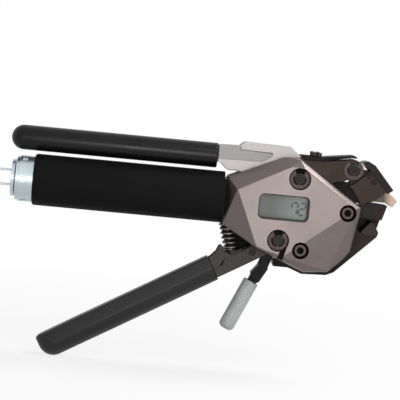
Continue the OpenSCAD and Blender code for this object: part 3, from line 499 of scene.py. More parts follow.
def loft(name, rings, looped=False, smooth_angle=SOFT):
    """Skin over rings of points, each with the same count: with end faces or, looped, last ring to first."""
    form = bmesh.new()
    rows = [[form.verts.new(point) for point in ring] for ring in rings]
    count = len(rows[0])
    for one, other in zip(rows, rows[1:] + rows[:1] if looped else rows[1:]):
        for i in range(count):
            j = (i + 1) % count
            form.faces.new((one[i], one[j], other[j], other[i]))
    if not looped:
        form.faces.new(rows[0])
        form.faces.new(rows[-1])
    return mesh_from(name, form, smooth_angle)


def turned(name, profile, place, sides, looped=False):
    """Skin of a turned part: profile holds (along, radius) pairs, and place puts its axis Z in the frame."""
    rings = []
    for along, radius in profile:
        angles = (2 * math.pi * i / sides for i in range(sides))
        rings.append([place @ Vector((radius * math.cos(a), radius * math.sin(a), along)) for a in angles])
    return loft(name, rings, looped)


def arc(centre, radius, start, end, steps):
    """Points of an arc, from angle start to end in degrees."""
    angles = (math.radians(start + (end - start) * i / steps) for i in range(steps + 1))
    return [(centre[0] + radius * math.cos(a), centre[1] + radius * math.sin(a)) for a in angles]


def axis_place(start, direction):
    """Matrix that puts the Z axis on a line from start."""
    return Matrix.Translation(start) @ direction.to_track_quat("Z", "Y").to_matrix().to_4x4()


def merged_copy(node):
    """Copy of a CAD node's mesh with its loose triangles joined into flat faces."""
    form = bmesh.new()
    form.from_mesh(frame["nodes"][node].data)
    bmesh.ops.remove_doubles(form, verts=form.verts, dist=MERGE)
    bmesh.ops.dissolve_limit(form, angle_limit=FLAT, verts=form.verts, edges=form.edges)
    faces = [[v.index for v in face.verts] for face in form.faces]
    mesh = bpy.data.meshes.new(f"{node}_eased")
    mesh.from_pydata([v.co.copy() for v in form.verts], [], faces)
    form.free()
    mesh.shade_smooth()
    return mesh


def edge_shares(mesh, share_of):
    """Writes how much of the rounding each edge takes, and marks the sharp ones that take none."""
    form = bmesh.new()
    form.from_mesh(mesh)
    shares, sharp = [], []
    for edge in form.edges:
        turn = edge.calc_face_angle(0.0)
        shares.append(share_of(turn, edge))
        sharp.append(turn > SHARP and shares[-1] == 0)
    form.free()
    weights = mesh.attributes.new("bevel_weight_edge", "FLOAT", "EDGE")
    weights.data.foreach_set("value", shares)
    corners = mesh.attributes.new("sharp_edge", "BOOLEAN", "EDGE")
    corners.data.foreach_set("value", sharp)


def eased(node, width, share_of, steps, worn=None):
    """Shows a CAD node with rounded edges in place of its sharp ones."""
    mesh = merged_copy(node)
    edge_shares(mesh, share_of)
    mesh.materials.append(finish_of(node))
    piece = add_piece(f"{node}_eased", mesh, frame["nodes"][node]["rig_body"], SLOT_OF[node], [node])
    bevel = piece.modifiers.new("eased edges", "BEVEL")
    bevel.width = width
    bevel.segments = steps
    bevel.limit_method = "WEIGHT"
    bevel.use_clamp_overlap = False
    bevel.harden_normals = True
    if worn:
        mesh.materials.append(finish(worn))
        bevel.material = 1
    return piece


def points_form(vertices):
    """Bmesh that holds only the points of vertices."""
    form = bmesh.new()
    for vertex in vertices:
        form.verts.new(vertex.co)
    return form


def wrap_points(form):
    """Skins the points of a bmesh with their convex hull, and drops the points inside it."""
    bmesh.ops.convex_hull(form, input=form.verts)
    bmesh.ops.delete(form, geom=[v for v in form.verts if not v.link_faces], context="VERTS")


def outer_planes(node):
    """Planes of a CAD node's convex outer form, as (normal, offset) pairs."""
    form = points_form(frame["nodes"][node].data.vertices)
    bmesh.ops.remove_doubles(form, verts=form.verts, dist=MERGE)
    wrap_points(form)
    bmesh.ops.dissolve_limit(form, angle_limit=FLAT, verts=form.verts, edges=form.edges)
    bmesh.ops.recalc_face_normals(form, faces=form.faces)
    planes = [(face.normal.copy(), face.normal.dot(face.verts[0].co)) for face in form.faces]
    form.free()
    return planes


def rounded_hull(node, radius, seam_normal):
    """Carrier of a CAD node's convex outer form with rounded folds. It runs on past its seam plane."""
    planes = []
    for normal, offset in outer_planes(node):
        step = -radius if normal.dot(seam_normal) > math.cos(FAINT) else radius
        planes.append((normal, offset - step))
    form = bmesh.new()
    for trio in itertools.combinations(planes, 3):
        rows = Matrix([normal for normal, _ in trio])
        if abs(rows.determinant()) < FAINT * FAINT:
            # Three planes that nearly share a line or a direction have no clear corner
            continue
        point = rows.inverted() @ Vector([offset for _, offset in trio])
        if all(normal.dot(point) <= offset + MERGE for normal, offset in planes):
            bmesh.ops.create_icosphere(form, subdivisions=3, radius=radius, matrix=Matrix.Translation(point))
    hull = points_form(form.verts)
    form.free()
    wrap_points(hull)
    carrier = bpy.data.objects.new(f"{node}_hull", mesh_from(f"{node}_hull", hull))
    bpy.context.scene.collection.objects.link(carrier)
    return carrier


COVER_CREASE = math.radians(32)


def cut_to_hull(node, hull):
    """Mesh of a CAD node cut back to a rounded hull."""
    form = bmesh.new()
    form.from_mesh(frame["nodes"][node].data)
    bmesh.ops.remove_doubles(form, verts=form.verts, dist=MERGE)
    carrier = bpy.data.objects.new(f"{node}_cut", mesh_from(f"{node}_cut", form))
    bpy.context.scene.collection.objects.link(carrier)
    cut = carrier.modifiers.new("cut", "BOOLEAN")
    cut.operation = "INTERSECT"
    cut.solver = "EXACT"
    cut.object = hull
    depsgraph = bpy.context.evaluated_depsgraph_get()
    mesh = bpy.data.meshes.new_from_object(carrier.evaluated_get(depsgraph))
    bpy.data.objects.remove(carrier)
    bpy.data.objects.remove(hull)
    mesh.materials.clear()
    mesh.shade_smooth()
    mesh.set_sharp_from_angle(angle=COVER_CREASE)
    return mesh


def paint_faces(mesh, kind, chosen):
    """Gives the faces that chosen picks a finish of their own; every use in this script puts painted shade
    on sunk faces.
    """
    mesh.materials.append(finish(kind))
    for polygon in mesh.polygons:
        if chosen(polygon):
            polygon.material_index = len(mesh.materials) - 1


def in_recess(polygon):
    """Whether a face is a sunk side of the cut-off arm."""
    depth = ARM_HALF - abs(polygon.center.y)
    return abs(polygon.normal.y) > math.cos(FAINT) and RECESS_LEAST < depth < RECESS_MOST


def in_pocket(polygon, planes):
    """Whether a face is a wall or floor of a pocket in a shell with these outer planes."""
    return min(offset - normal.dot(polygon.center) for normal, offset in planes) > POCKET_LEAST


def in_socket(polygon):
    """Whether a face is inside the socket of a cover screw."""
    x, _, z = polygon.center
    return min(math.hypot(x - screw_x, z - screw_z) for screw_x, screw_z in COVER_SCREWS) < SOCKET_REACH


def even_normals(mesh, planes):
    """Shades a shell flat on its planes and softly on the folds between them."""
    near, same = math.cos(SOFT), math.cos(math.radians(1.5))
    flat_at = [[] for _ in mesh.vertices]
    bent_at = [[] for _ in mesh.vertices]
    is_flat = []
    for polygon in mesh.polygons:
        is_flat.append(max(abs(polygon.normal.dot(normal)) for normal, _ in planes) > same)
        for index in polygon.vertices:
            (flat_at if is_flat[-1] else bent_at)[index].append(polygon.normal.copy())
    normals = []
    for polygon, flat in zip(mesh.polygons, is_flat):
        for index in polygon.vertices:
            if flat:
                normals.append(polygon.normal)
                continue
            close = [n for n in flat_at[index] if n.dot(polygon.normal) > near]
            bends = [n for n in bent_at[index] if n.dot(polygon.normal) > near]
            if close:
                normals.append(max(close, key=polygon.normal.dot))
            else:
                normals.append(sum(bends, Vector()).normalized())
    mesh.normals_split_custom_set(normals)


def input_socket(tree, name, kind):
    """Adds a named input to a node group and returns its identifier."""
    return tree.interface.new_socket(name=name, in_out="INPUT", socket_type=kind).identifier


def run_tree(name, tree, values, source=None):
    """Runs a node group with the given inputs and returns the plain mesh it makes."""
    carrier = bpy.data.objects.new(name, source or bpy.data.meshes.new(name))
    bpy.context.scene.collection.objects.link(carrier)
    modifier = carrier.modifiers.new("build", "NODES")
    modifier.node_group = tree
    for identifier, value in values.items():
        modifier[identifier] = value
    carrier.update_tag()
    depsgraph = bpy.context.evaluated_depsgraph_get()
    mesh = bpy.data.meshes.new_from_object(carrier.evaluated_get(depsgraph))
    carrier.modifiers.remove(modifier)
    bpy.data.objects.remove(carrier)
    return mesh


def new_tree(name):
    """Empty geometry node group with its group nodes."""
    tree = bpy.data.node_groups.new(name, "GeometryNodeTree")
    tree.interface.new_socket(name="Geometry", in_out="OUTPUT", socket_type="NodeSocketGeometry")
    return tree, tree.nodes.new("NodeGroupInput"), tree.nodes.new("NodeGroupOutput")


def end_tree(tree, geometry, material, output):
    """Ends a node group in real geometry with its material."""
    realize = tree.nodes.new("GeometryNodeRealizeInstances")
    paint = tree.nodes.new("GeometryNodeSetMaterial")
    tree.links.new(geometry, realize.inputs["Geometry"])
    tree.links.new(realize.outputs["Geometry"], paint.inputs["Geometry"])
    tree.links.new(material, paint.inputs["Material"])
    tree.links.new(paint.outputs["Geometry"], output.inputs["Geometry"])


def feed(tree, socket, value):
    """Sets a node's input to a number, or links it to another node's output."""
    if isinstance(value, (int, float)):
        socket.default_value = value
    else:
        tree.links.new(value, socket)


def coil_tree():
    """Node group that winds a compression spring along Z with closed ends."""
    tree, given, output = new_tree("wound spring")
    ids = {name: input_socket(tree, name, kind) for name, kind in (
        ("Radius", "NodeSocketFloat"), ("Wire", "NodeSocketFloat"), ("Turns", "NodeSocketFloat"),
        ("Length", "NodeSocketFloat"), ("Material", "NodeSocketMaterial"))}
    nodes, links = tree.nodes, tree.links

    def math_node(operation, one, other):
        node = nodes.new("ShaderNodeMath")
        node.operation = operation
        feed(tree, node.inputs[0], one)
        feed(tree, node.inputs[1], other)
        return node.outputs["Value"]

    def climb(turn, start, end, rise):
        node = nodes.new("ShaderNodeMapRange")
        for socket, value in (("Value", turn), ("From Min", start), ("From Max", end), ("To Max", rise)):
            feed(tree, node.inputs[socket], value)
        return node.outputs["Result"]

    wire, turns, total = given.outputs["Wire"], given.outputs["Turns"], given.outputs["Length"]
    spiral = nodes.new("GeometryNodeCurveSpiral")
    spiral.inputs["Resolution"].default_value = 40
    spiral.inputs["Height"].default_value = 0
    for socket, value in (("Rotations", turns), ("Start Radius", given.outputs["Radius"]),
                          ("End Radius", given.outputs["Radius"])):
        links.new(value, spiral.inputs[socket])
    share = nodes.new("GeometryNodeSplineParameter").outputs["Factor"]
    turn = math_node("MULTIPLY", share, turns)
    last = math_node("SUBTRACT", turns, 1)
    open_rise = math_node("SUBTRACT", total, math_node("MULTIPLY", wire, 3))
    height = math_node("ADD", climb(turn, 0, 1, wire), climb(turn, 1, last, open_rise))
    height = math_node("ADD", height, climb(turn, last, turns, wire))
    height = math_node("ADD", height, math_node("MULTIPLY", wire, 0.5))
    offset = nodes.new("ShaderNodeCombineXYZ")
    links.new(height, offset.inputs["Z"])
    lift = nodes.new("GeometryNodeSetPosition")
    links.new(spiral.outputs["Curve"], lift.inputs["Geometry"])
    links.new(offset.outputs["Vector"], lift.inputs["Offset"])
    section = nodes.new("GeometryNodeCurvePrimitiveCircle")
    section.inputs["Resolution"].default_value = 12
    links.new(math_node("MULTIPLY", wire, 0.5), section.inputs["Radius"])
    sweep = nodes.new("GeometryNodeCurveToMesh")
    sweep.inputs["Fill Caps"].default_value = True
    links.new(lift.outputs["Geometry"], sweep.inputs["Curve"])
    links.new(section.outputs["Curve"], sweep.inputs["Profile Curve"])
    smooth = nodes.new("GeometryNodeSetShadeSmooth")
    links.new(sweep.outputs["Mesh"], smooth.inputs["Geometry"])
    end_tree(tree, smooth.outputs["Geometry"], given.outputs["Material"], output)
    return tree, ids


def copies_tree():
    """Node group that sets copies of one shape on points, each turned by the point's own turn."""
    tree, given, output = new_tree("placed copies")
    ids = {name: input_socket(tree, name, kind) for name, kind in (
        ("Geometry", "NodeSocketGeometry"), ("Shape", "NodeSocketObject"),
        ("Material", "NodeSocketMaterial"))}
    shape = tree.nodes.new("GeometryNodeObjectInfo")
    turn = tree.nodes.new("GeometryNodeInputNamedAttribute")
    turn.data_type = "FLOAT_VECTOR"
    turn.inputs["Name"].default_value = "turn"
    rotation = tree.nodes.new("FunctionNodeEulerToRotation")
    place = tree.nodes.new("GeometryNodeInstanceOnPoints")
    tree.links.new(given.outputs["Geometry"], place.inputs["Points"])
    tree.links.new(given.outputs["Shape"], shape.inputs["Object"])
    tree.links.new(shape.outputs["Geometry"], place.inputs["Instance"])
    tree.links.new(turn.outputs["Attribute"], rotation.inputs["Euler"])
    tree.links.new(rotation.outputs["Rotation"], place.inputs["Rotation"])
    end_tree(tree, place.outputs["Instances"], given.outputs["Material"], output)
    return tree, ids


def placed_copies(name, shape_mesh, places, kind):
    """Mesh of copies of a shape: places holds (position, turn) pairs, turns as Euler angles."""
    tree, ids = copies_tree()
    shape = bpy.data.objects.new(f"{name}_shape", shape_mesh)
    points = bpy.data.meshes.new(f"{name}_points")
    points.from_pydata([position for position, _ in places], [], [])
    turns = points.attributes.new("turn", "FLOAT_VECTOR", "POINT")
    turns.data.foreach_set("vector", [value for _, turn in places for value in turn])
    mesh = run_tree(name, tree, {ids["Shape"]: shape, ids["Material"]: finish(kind)}, points)
    bpy.data.objects.remove(shape)
    return mesh


def socket_screw(head_radius, head_height, socket_across, shank_radius, shank_length, ease):
    """Screw with its seat at the origin, its head towards -Y and a hexagon socket in the head."""
    sides = 48
    rows = [(shank_radius, shank_length), (shank_radius, 0.0), (head_radius - ease, 0.0),
            (head_radius, -ease), (head_radius, ease - head_height),
            (head_radius - 0.4 * ease, 0.4 * ease - head_height), (head_radius - ease, -head_height)]
    turns = [2 * math.pi * i / sides for i in range(sides)]
    rings = [[(r * math.cos(a), y, r * math.sin(a)) for a in turns] for r, y in rows]
    corner = socket_across / math.sqrt(3)
    step = sides // 6

    def hexagon(scale, y):
        ring = []
        for i in range(sides):
            side, part = divmod(i, step)
            a, b = (math.pi / 3 * (side + k) for k in (0, 1))
            x = corner * scale * (math.cos(a) + (math.cos(b) - math.cos(a)) * part / step)
            z = corner * scale * (math.sin(a) + (math.sin(b) - math.sin(a)) * part / step)
            ring.append((x, y, z))
        return ring

    rings.append(hexagon(1.06, -head_height))
    rings.append(hexagon(1.0, 0.3 * ease - head_height))
    rings.append(hexagon(1.0, -0.35 * head_height))
    return loft("socket_screw", rings, smooth_angle=math.radians(30))


def extent(node, origin, direction):
    """Least and greatest reach of a CAD node along a direction from a point."""
    reach = [(v.co - origin).dot(direction) for v in frame["nodes"][node].data.vertices]
    return min(reach), max(reach)


def rounded_rect(width, height, radius, y, shift=0.0, steps=6):
    """Ring of a rounded rectangle round the display's middle, moved up and back by shift."""
    points = []
    for i, (sx, sz) in enumerate(((1, 1), (-1, 1), (-1, -1), (1, -1))):
        centre = (sx * (width / 2 - radius), sz * (height / 2 - radius))
        points += arc(centre, radius, 90 * i, 90 * i + 90, steps)
    return [Vector((DISPLAY_AT.x + x - shift, y, DISPLAY_AT.z + z + shift)) for x, z in points]


# CAD nodes by the kind of their edges, which names the size of the rounding
EASED_NODES = {
    "casting": ("cutoff_arm",),
    "plate": ("frame_body", "nose_plate_front", "nose_plate_rear", "lower_jaw", "hold_spring",
              "trigger_lever", "release_lever", "cutter_block", "cutter_cap", "cutter_blade",
              "adjuster_collar", "tail_plug"),
    "fine": ("cutoff_clips", "trigger_clips", "cutter_clips", "roller_axle", "cutter_dowels", "band_roller",
             "adjusting_nut", "spring_washers"),
    "pin": ("cutoff_pin", "trigger_pin", "cutter_pin"),
}
# Widths of rounding that make an edge a long one, and the share that a shorter one takes
LONG_EDGE = 4
SHORT_SHARE = 0.4


class TENSIONER_OT_covers(bpy.types.Operator):
    """Rounds the folds of the two housing covers and paints shade into their pockets"""

    bl_idname = "tensioner.covers"
    bl_label = "Housing covers"

    def execute(self, context):
        for node, seam_normal in (("front_cover", Vector((0, 1, 0))), ("rear_cover", Vector((0, -1, 0)))):
            hull = rounded_hull(node, settings().edges.fold, seam_normal)
            mesh = cut_to_hull(node, hull)
            planes = outer_planes(node)
            even_normals(mesh, planes)
            mesh.materials.append(finish("cover_paint"))
            # Pocket walls and floors take the near-black socket finish, which is painted shade
            paint_faces(mesh, "socket", lambda polygon, planes=planes: in_pocket(polygon, planes))
            add_piece(f"{node}_shell", mesh, "housing", "cover_paint", [node])
        return {"FINISHED"}


class TENSIONER_OT_metalwork(bpy.types.Operator):
    """Eases the edges of the frame, levers, nose and hardware"""

    bl_idname = "tensioner.metalwork"
    bl_label = "Metalwork"

    def execute(self, context):
        edges = settings().edges
        for group, nodes in EASED_NODES.items():
            width = getattr(edges, group)

            def share(turn, edge, width=width, group=group):
                if turn < SHARP or not edge.is_convex:
                    return 0.0
                return 1.0 if group == "pin" or edge.calc_length() > LONG_EDGE * width else SHORT_SHARE

            for node in nodes:
                piece = eased(node, width, share, edges.steps, "lever_steel" if group == "pin" else None)
                if node == "cutoff_arm":
                    # The recess floor takes the darker recess finish, which is painted shade
                    paint_faces(piece.data, "arm_recess", in_recess)
        return {"FINISHED"}


class TENSIONER_OT_sleeve(bpy.types.Operator):
    """Slips the rubber sleeve on the handle"""

    bl_idname = "tensioner.sleeve"
    bl_label = "Handle sleeve"

    def execute(self, context):
        grips = settings().grips
        low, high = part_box("handle_grip")
        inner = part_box("handle_tube")[1].z
        size, radius, ease = high.x - low.x + SLEEVE_GAP, high.z, grips.sleeve_round
        tight = ease / 3
        profile = [(0, inner), *arc((ease, radius - ease), ease, 180, 90, 5),
                   *arc((size - tight, radius - tight), tight, 90, 0, 5), (size, inner)]
        place = axis_place(Vector((low.x, 0, 0)), Vector((1, 0, 0)))
        mesh = turned("handle_sleeve", profile, place, grips.sides, looped=True)
        add_piece("handle_sleeve", mesh, "housing", "handle_rubber", ["handle_grip"])
        return {"FINISHED"}


class TENSIONER_OT_cutoff_grip(bpy.types.Operator):
    """Dips the cut-off lever's grip, with a rolled lip and a round end"""

    bl_idname = "tensioner.cutoff_grip"
    bl_label = "Cut-off grip"

    def execute(self, context):
        grips = settings().grips
        low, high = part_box("cutoff_grip")
        radius, size, lip = (high.z - low.z) / 2, high.x - low.x, grips.lip
        profile = [(0, 0.6 * radius), *arc((lip, radius - lip), lip, 180, 90, 5),
                   *arc((size - radius, 0), radius, 90, 0.2, 14)]
        mouth = Vector((high.x, 0, (high.z + low.z) / 2))
        mesh = turned("cutoff_dipped_grip", profile, axis_place(mouth, Vector((-1, 0, 0))), grips.sides)
        add_piece("cutoff_dipped_grip", mesh, "cutoff", "lever_vinyl", ["cutoff_grip"])
        return {"FINISHED"}


class TENSIONER_OT_trigger_grip(bpy.types.Operator):
    """Dips the trigger's grip: leaning sides, a round underside and a round end"""

    bl_idname = "tensioner.trigger_grip"
    bl_label = "Trigger grip"

    def execute(self, context):
        grips = settings().grips
        start, end = extent("trigger_grip", TRIGGER_PIN, TRIGGER_ALONG)
        base, top = extent("trigger_grip", TRIGGER_PIN, TRIGGER_UP)
        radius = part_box("trigger_grip")[1].y
        middle = base + radius
        lip, corner, round_end = grips.lip, grips.trigger_corner, grips.trigger_end

        def section(s, half, top_at):
            crest = grips.trigger_crest * half
            bend = min(corner, 0.9 * crest)
            line = arc((0, middle), half, 180, 360, 24)
            line += arc((crest - bend, top_at - bend), bend, 0, 90, 6)
            line += arc((bend - crest, top_at - bend), bend, 90, 180, 6)
            place = TRIGGER_PIN + TRIGGER_ALONG * s
            return [place + Vector((0, y, 0)) + TRIGGER_UP * n for y, n in line]

        rings = [section(start, radius - lip, top - lip)]
        for x, y in arc((0, 0), lip, 15, 90, 5):
            rings.append(section(start + lip - x, radius - lip + y, top - lip + y))
        steps = 12
        for i in range(steps + 1):
            turn = math.radians(89 * i / steps)
            left = radius * (1 - math.sin(turn))
            drop = round_end * (1 - math.sqrt(max(0, 1 - (1 - min(1, left / round_end)) ** 2)))
            rings.append(section(end - left, radius * math.cos(turn), top - 0.6 * drop))
        mesh = loft("trigger_dipped_grip", rings)
        add_piece("trigger_dipped_grip", mesh, "trigger", "trigger_rubber", ["trigger_grip"])
        return {"FINISHED"}


class TENSIONER_OT_release_cap(bpy.types.Operator):
    """Slips the grey vinyl cap on the release lever"""

    bl_idname = "tensioner.release_cap"
    bl_label = "Release cap"

    def execute(self, context):
        grips = settings().grips
        line = (CAP_LOW - CAP_TOP).normalized()
        start, end = extent("release_cap", CAP_TOP, line)
        radius, lip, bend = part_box("release_cap")[1].y, grips.lip, grips.cap_end
        size = end - start
        profile = [(0, 0.55 * radius), *arc((lip, radius - lip), lip, 180, 90, 5),
                   *arc((size - bend, radius - bend), bend, 90, 0, 10), (size, 0.02 * radius)]
        mesh = turned("release_soft_cap", profile, axis_place(CAP_TOP + line * start, line), grips.sides)
        add_piece("release_soft_cap", mesh, "release", "grey_vinyl", ["release_cap"])
        return {"FINISHED"}


class TENSIONER_OT_springs(bpy.types.Operator):
    """Winds the trigger's return spring and the tension spring in the handle"""

    bl_idname = "tensioner.springs"
    bl_label = "Springs"

    def execute(self, context):
        springs = settings().springs
        tree, ids = coil_tree()

        def wind(name, radius, wire, turns, size, kind, place):
            mesh = run_tree(name, tree, {ids["Radius"]: radius, ids["Wire"]: wire, ids["Turns"]: turns,
                                         ids["Length"]: size, ids["Material"]: finish(kind)})
            mesh.transform(place)
            return mesh

        seat = TRIGGER_PIN + TRIGGER_ALONG * SEAT_ALONG + TRIGGER_UP * SEAT_UP
        line = Vector((-math.sin(SPRING_TILT), 0, math.cos(SPRING_TILT)))
        coil = wind("return_coil", springs.return_radius, springs.return_wire, springs.return_turns,
                    springs.return_length, "spring_steel", axis_place(seat, line))
        piece = add_piece("return_coil", coil, None, "spring_steel", ["return_spring"])
        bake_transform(piece)
        low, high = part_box("tension_spring")
        coil = wind("tension_coil", springs.tension_radius, springs.tension_wire, springs.tension_turns,
                    high.x - low.x, "dark_steel", axis_place(Vector((low.x, 0, 0)), Vector((1, 0, 0))))
        add_piece("tension_coil", coil, "carriage", "dark_steel", ["tension_spring"])
        return {"FINISHED"}


# Sizes of the two kinds of screw, and the turns that point their heads
COVER_SCREW = {"head_radius": 3.5 * MM, "head_height": 4 * MM, "socket_across": 3.4 * MM,
               "shank_radius": 2 * MM, "shank_length": 9.8 * MM, "ease": 0.4 * MM}
STRIP_SCREW = {"head_radius": 1.25 * MM, "head_height": 2.2 * MM, "socket_across": 1.1 * MM,
               "shank_radius": 0.78 * MM, "shank_length": 5 * MM, "ease": 0.3 * MM}
FORWARD = (0, 0, 0)
BACKWARD = (0, 0, math.pi)
UPWARD = (-math.pi / 2, 0, 0)


class TENSIONER_OT_screws(bpy.types.Operator):
    """Sets the socket screws of the covers and of the hold-down strip"""

    bl_idname = "tensioner.screws"
    bl_label = "Screws"

    def execute(self, context):
        seat_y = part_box("cover_screws")[1].y - COVER_SCREW["head_height"]
        places = [((x, side * seat_y, z), FORWARD if side < 0 else BACKWARD)
                  for x, z in COVER_SCREWS for side in (-1, 1)]
        mesh = placed_copies("cover_socket_screws", socket_screw(**COVER_SCREW), places, "screw_steel")
        # The inside of each hex socket takes the near-black socket finish, which is painted shade
        paint_faces(mesh, "socket", in_socket)
        add_piece("cover_socket_screws", mesh, "housing", "screw_steel", ["cover_screws"])

        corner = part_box("hold_screws")[1]
        side_y = corner.y - STRIP_SCREW["head_radius"]
        seat_z = corner.z - STRIP_SCREW["head_height"]
        places = [((x, y, seat_z), UPWARD) for x in STRIP_SCREW_X for y in (-side_y, side_y)]
        mesh = placed_copies("strip_socket_screws", socket_screw(**STRIP_SCREW), places, "screw_steel")
        add_piece("strip_socket_screws", mesh, "housing", "screw_steel", ["hold_screws"])
        return {"FINISHED"}


# Lit segments of the two digits: middle of a segment in half widths, and whether it stands upright
TOP, MIDDLE, BASE = ((0, 2), False), ((0, 0), False), ((0, -2), False)
UPPER_LEFT, UPPER_RIGHT = ((-1, 1), True), ((1, 1), True)
LOWER_LEFT, LOWER_RIGHT = ((-1, -1), True), ((1, -1), True)
DIGITS = ((UPPER_LEFT, TOP, UPPER_RIGHT, LOWER_RIGHT), (TOP, UPPER_RIGHT, MIDDLE, LOWER_LEFT, BASE))


def segment_bar(half, stroke):
    """One segment of a digit with pointed ends, a little shorter than the digit's width."""
    reach = half - 0.18 * MM
    flat, edge = reach - stroke / 2, stroke / 2
    outline = [(-reach, 0), (-flat, edge), (flat, edge), (reach, 0), (flat, -edge), (-flat, -edge)]
    thick = 0.05 * MM
    return loft("segment_bar", [[(x, y, z) for x, z in outline] for y in (-thick, 0)])


class TENSIONER_OT_display(bpy.types.Operator):
    """Builds the dark rim of painted shade round the display's window, the window and the digits"""

    bl_idname = "tensioner.display"
    bl_label = "Display"

    def execute(self, context):
        display = settings().display
        low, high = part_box("display_lens")
        width, height, front = high.x - low.x, high.z - low.z, low.y
        panel_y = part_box("lcd_panel")[0].y
        corner, band, ease = 2.9 * MM, display.window_shade, 0.25 * MM
        lip_y = -COVER_FACE_Y + 0.25 * MM

        def ring(inset, y, shift=0.0):
            return rounded_rect(width - 2 * inset, height - 2 * inset, corner - inset, y, shift)

        # The rim's inner edge moves up and back by lip, so the painted shade is wider at the right and
        # bottom
        lip = 0.4 * band
        window_shade = loft("display_gasket", [ring(0, front), ring(0, lip_y), ring(lip, lip_y),
                                         ring(band, front - ease, lip), ring(band, front, lip)], looped=True)
        add_piece("display_gasket", window_shade, "housing", "window_shade")
        air, play, sunk = 0.12 * MM, 0.1 * MM, 0.02 * MM
        lens = loft("display_window", [ring(play, panel_y - air), ring(play, front + ease),
                                       ring(ease, front + sunk), ring(2 * ease, front + sunk)])
        add_piece("display_window", lens, "housing", "lens_clear", ["display_lens"])

        half = display.digit_width / 2
        lean = math.tan(display.slant)
        first_x = DISPLAY_AT.x + display.digit_place - display.digit_pitch
        segment_y = panel_y - 0.01 * MM
        places = []
        for i, lit in enumerate(DIGITS):
            for (across, rise), upright in lit:
                x = first_x + i * display.digit_pitch + across * half + lean * rise * half
                turn = math.pi / 2 + display.slant if upright else 0
                places.append(((x, segment_y, DISPLAY_AT.z + rise * half), (0, turn, 0)))
        mesh = placed_copies("display_segments", segment_bar(half, display.stroke), places, "segment")
        add_piece("display_segments", mesh, "housing", "segment")
        return {"FINISHED"}


class TENSIONER_OT_finishes(bpy.types.Operator):
    """Gives every CAD node that shows its finish"""

    bl_idname = "tensioner.finishes"
    bl_label = "Finishes"

    def execute(self, context):
        for name, node in frame["nodes"].items():
            if not node.hide_render:
                node.data.materials.clear()
                node.data.materials.append(finish_of(name))
        return {"FINISHED"}


# Soft lights: offset from the aim and width, in metres
LAMPS = {
    "key": ((0.5, -0.6, 0.65), 0.5),
    "rim": ((0.52, 0.2, 0.68), 0.3),
    "front": ((0.05, -0.82, 0.03), 0.24),
}


def soft_light(name, aim, offset, size, watts):
    """Square soft light that points at the aim from an offset."""
    data = bpy.data.lights.new(name, "AREA")
    data.size = size
    data.energy = watts
    lamp = bpy.data.objects.new(name, data)
    lamp.location = aim + offset
    lamp.rotation_mode = "QUATERNION"
    lamp.rotation_quaternion = (-offset).to_track_quat("-Z", "Y")
    bpy.context.scene.collection.objects.link(lamp)


def seen_directly(nodes, links):
    """1 for what the camera sees directly, in a mirror or through glass."""
    path = nodes.new("ShaderNodeLightPath")
    total = None
    for ray in ("Is Camera Ray", "Is Glossy Ray", "Is Transmission Ray"):
        if total is None:
            total = path.outputs[ray]
            continue
        most = nodes.new("ShaderNodeMath")
        most.operation = "MAXIMUM"
        links.new(total, most.inputs[0])
        links.new(path.outputs[ray], most.inputs[1])
        total = most.outputs["Value"]
    return total


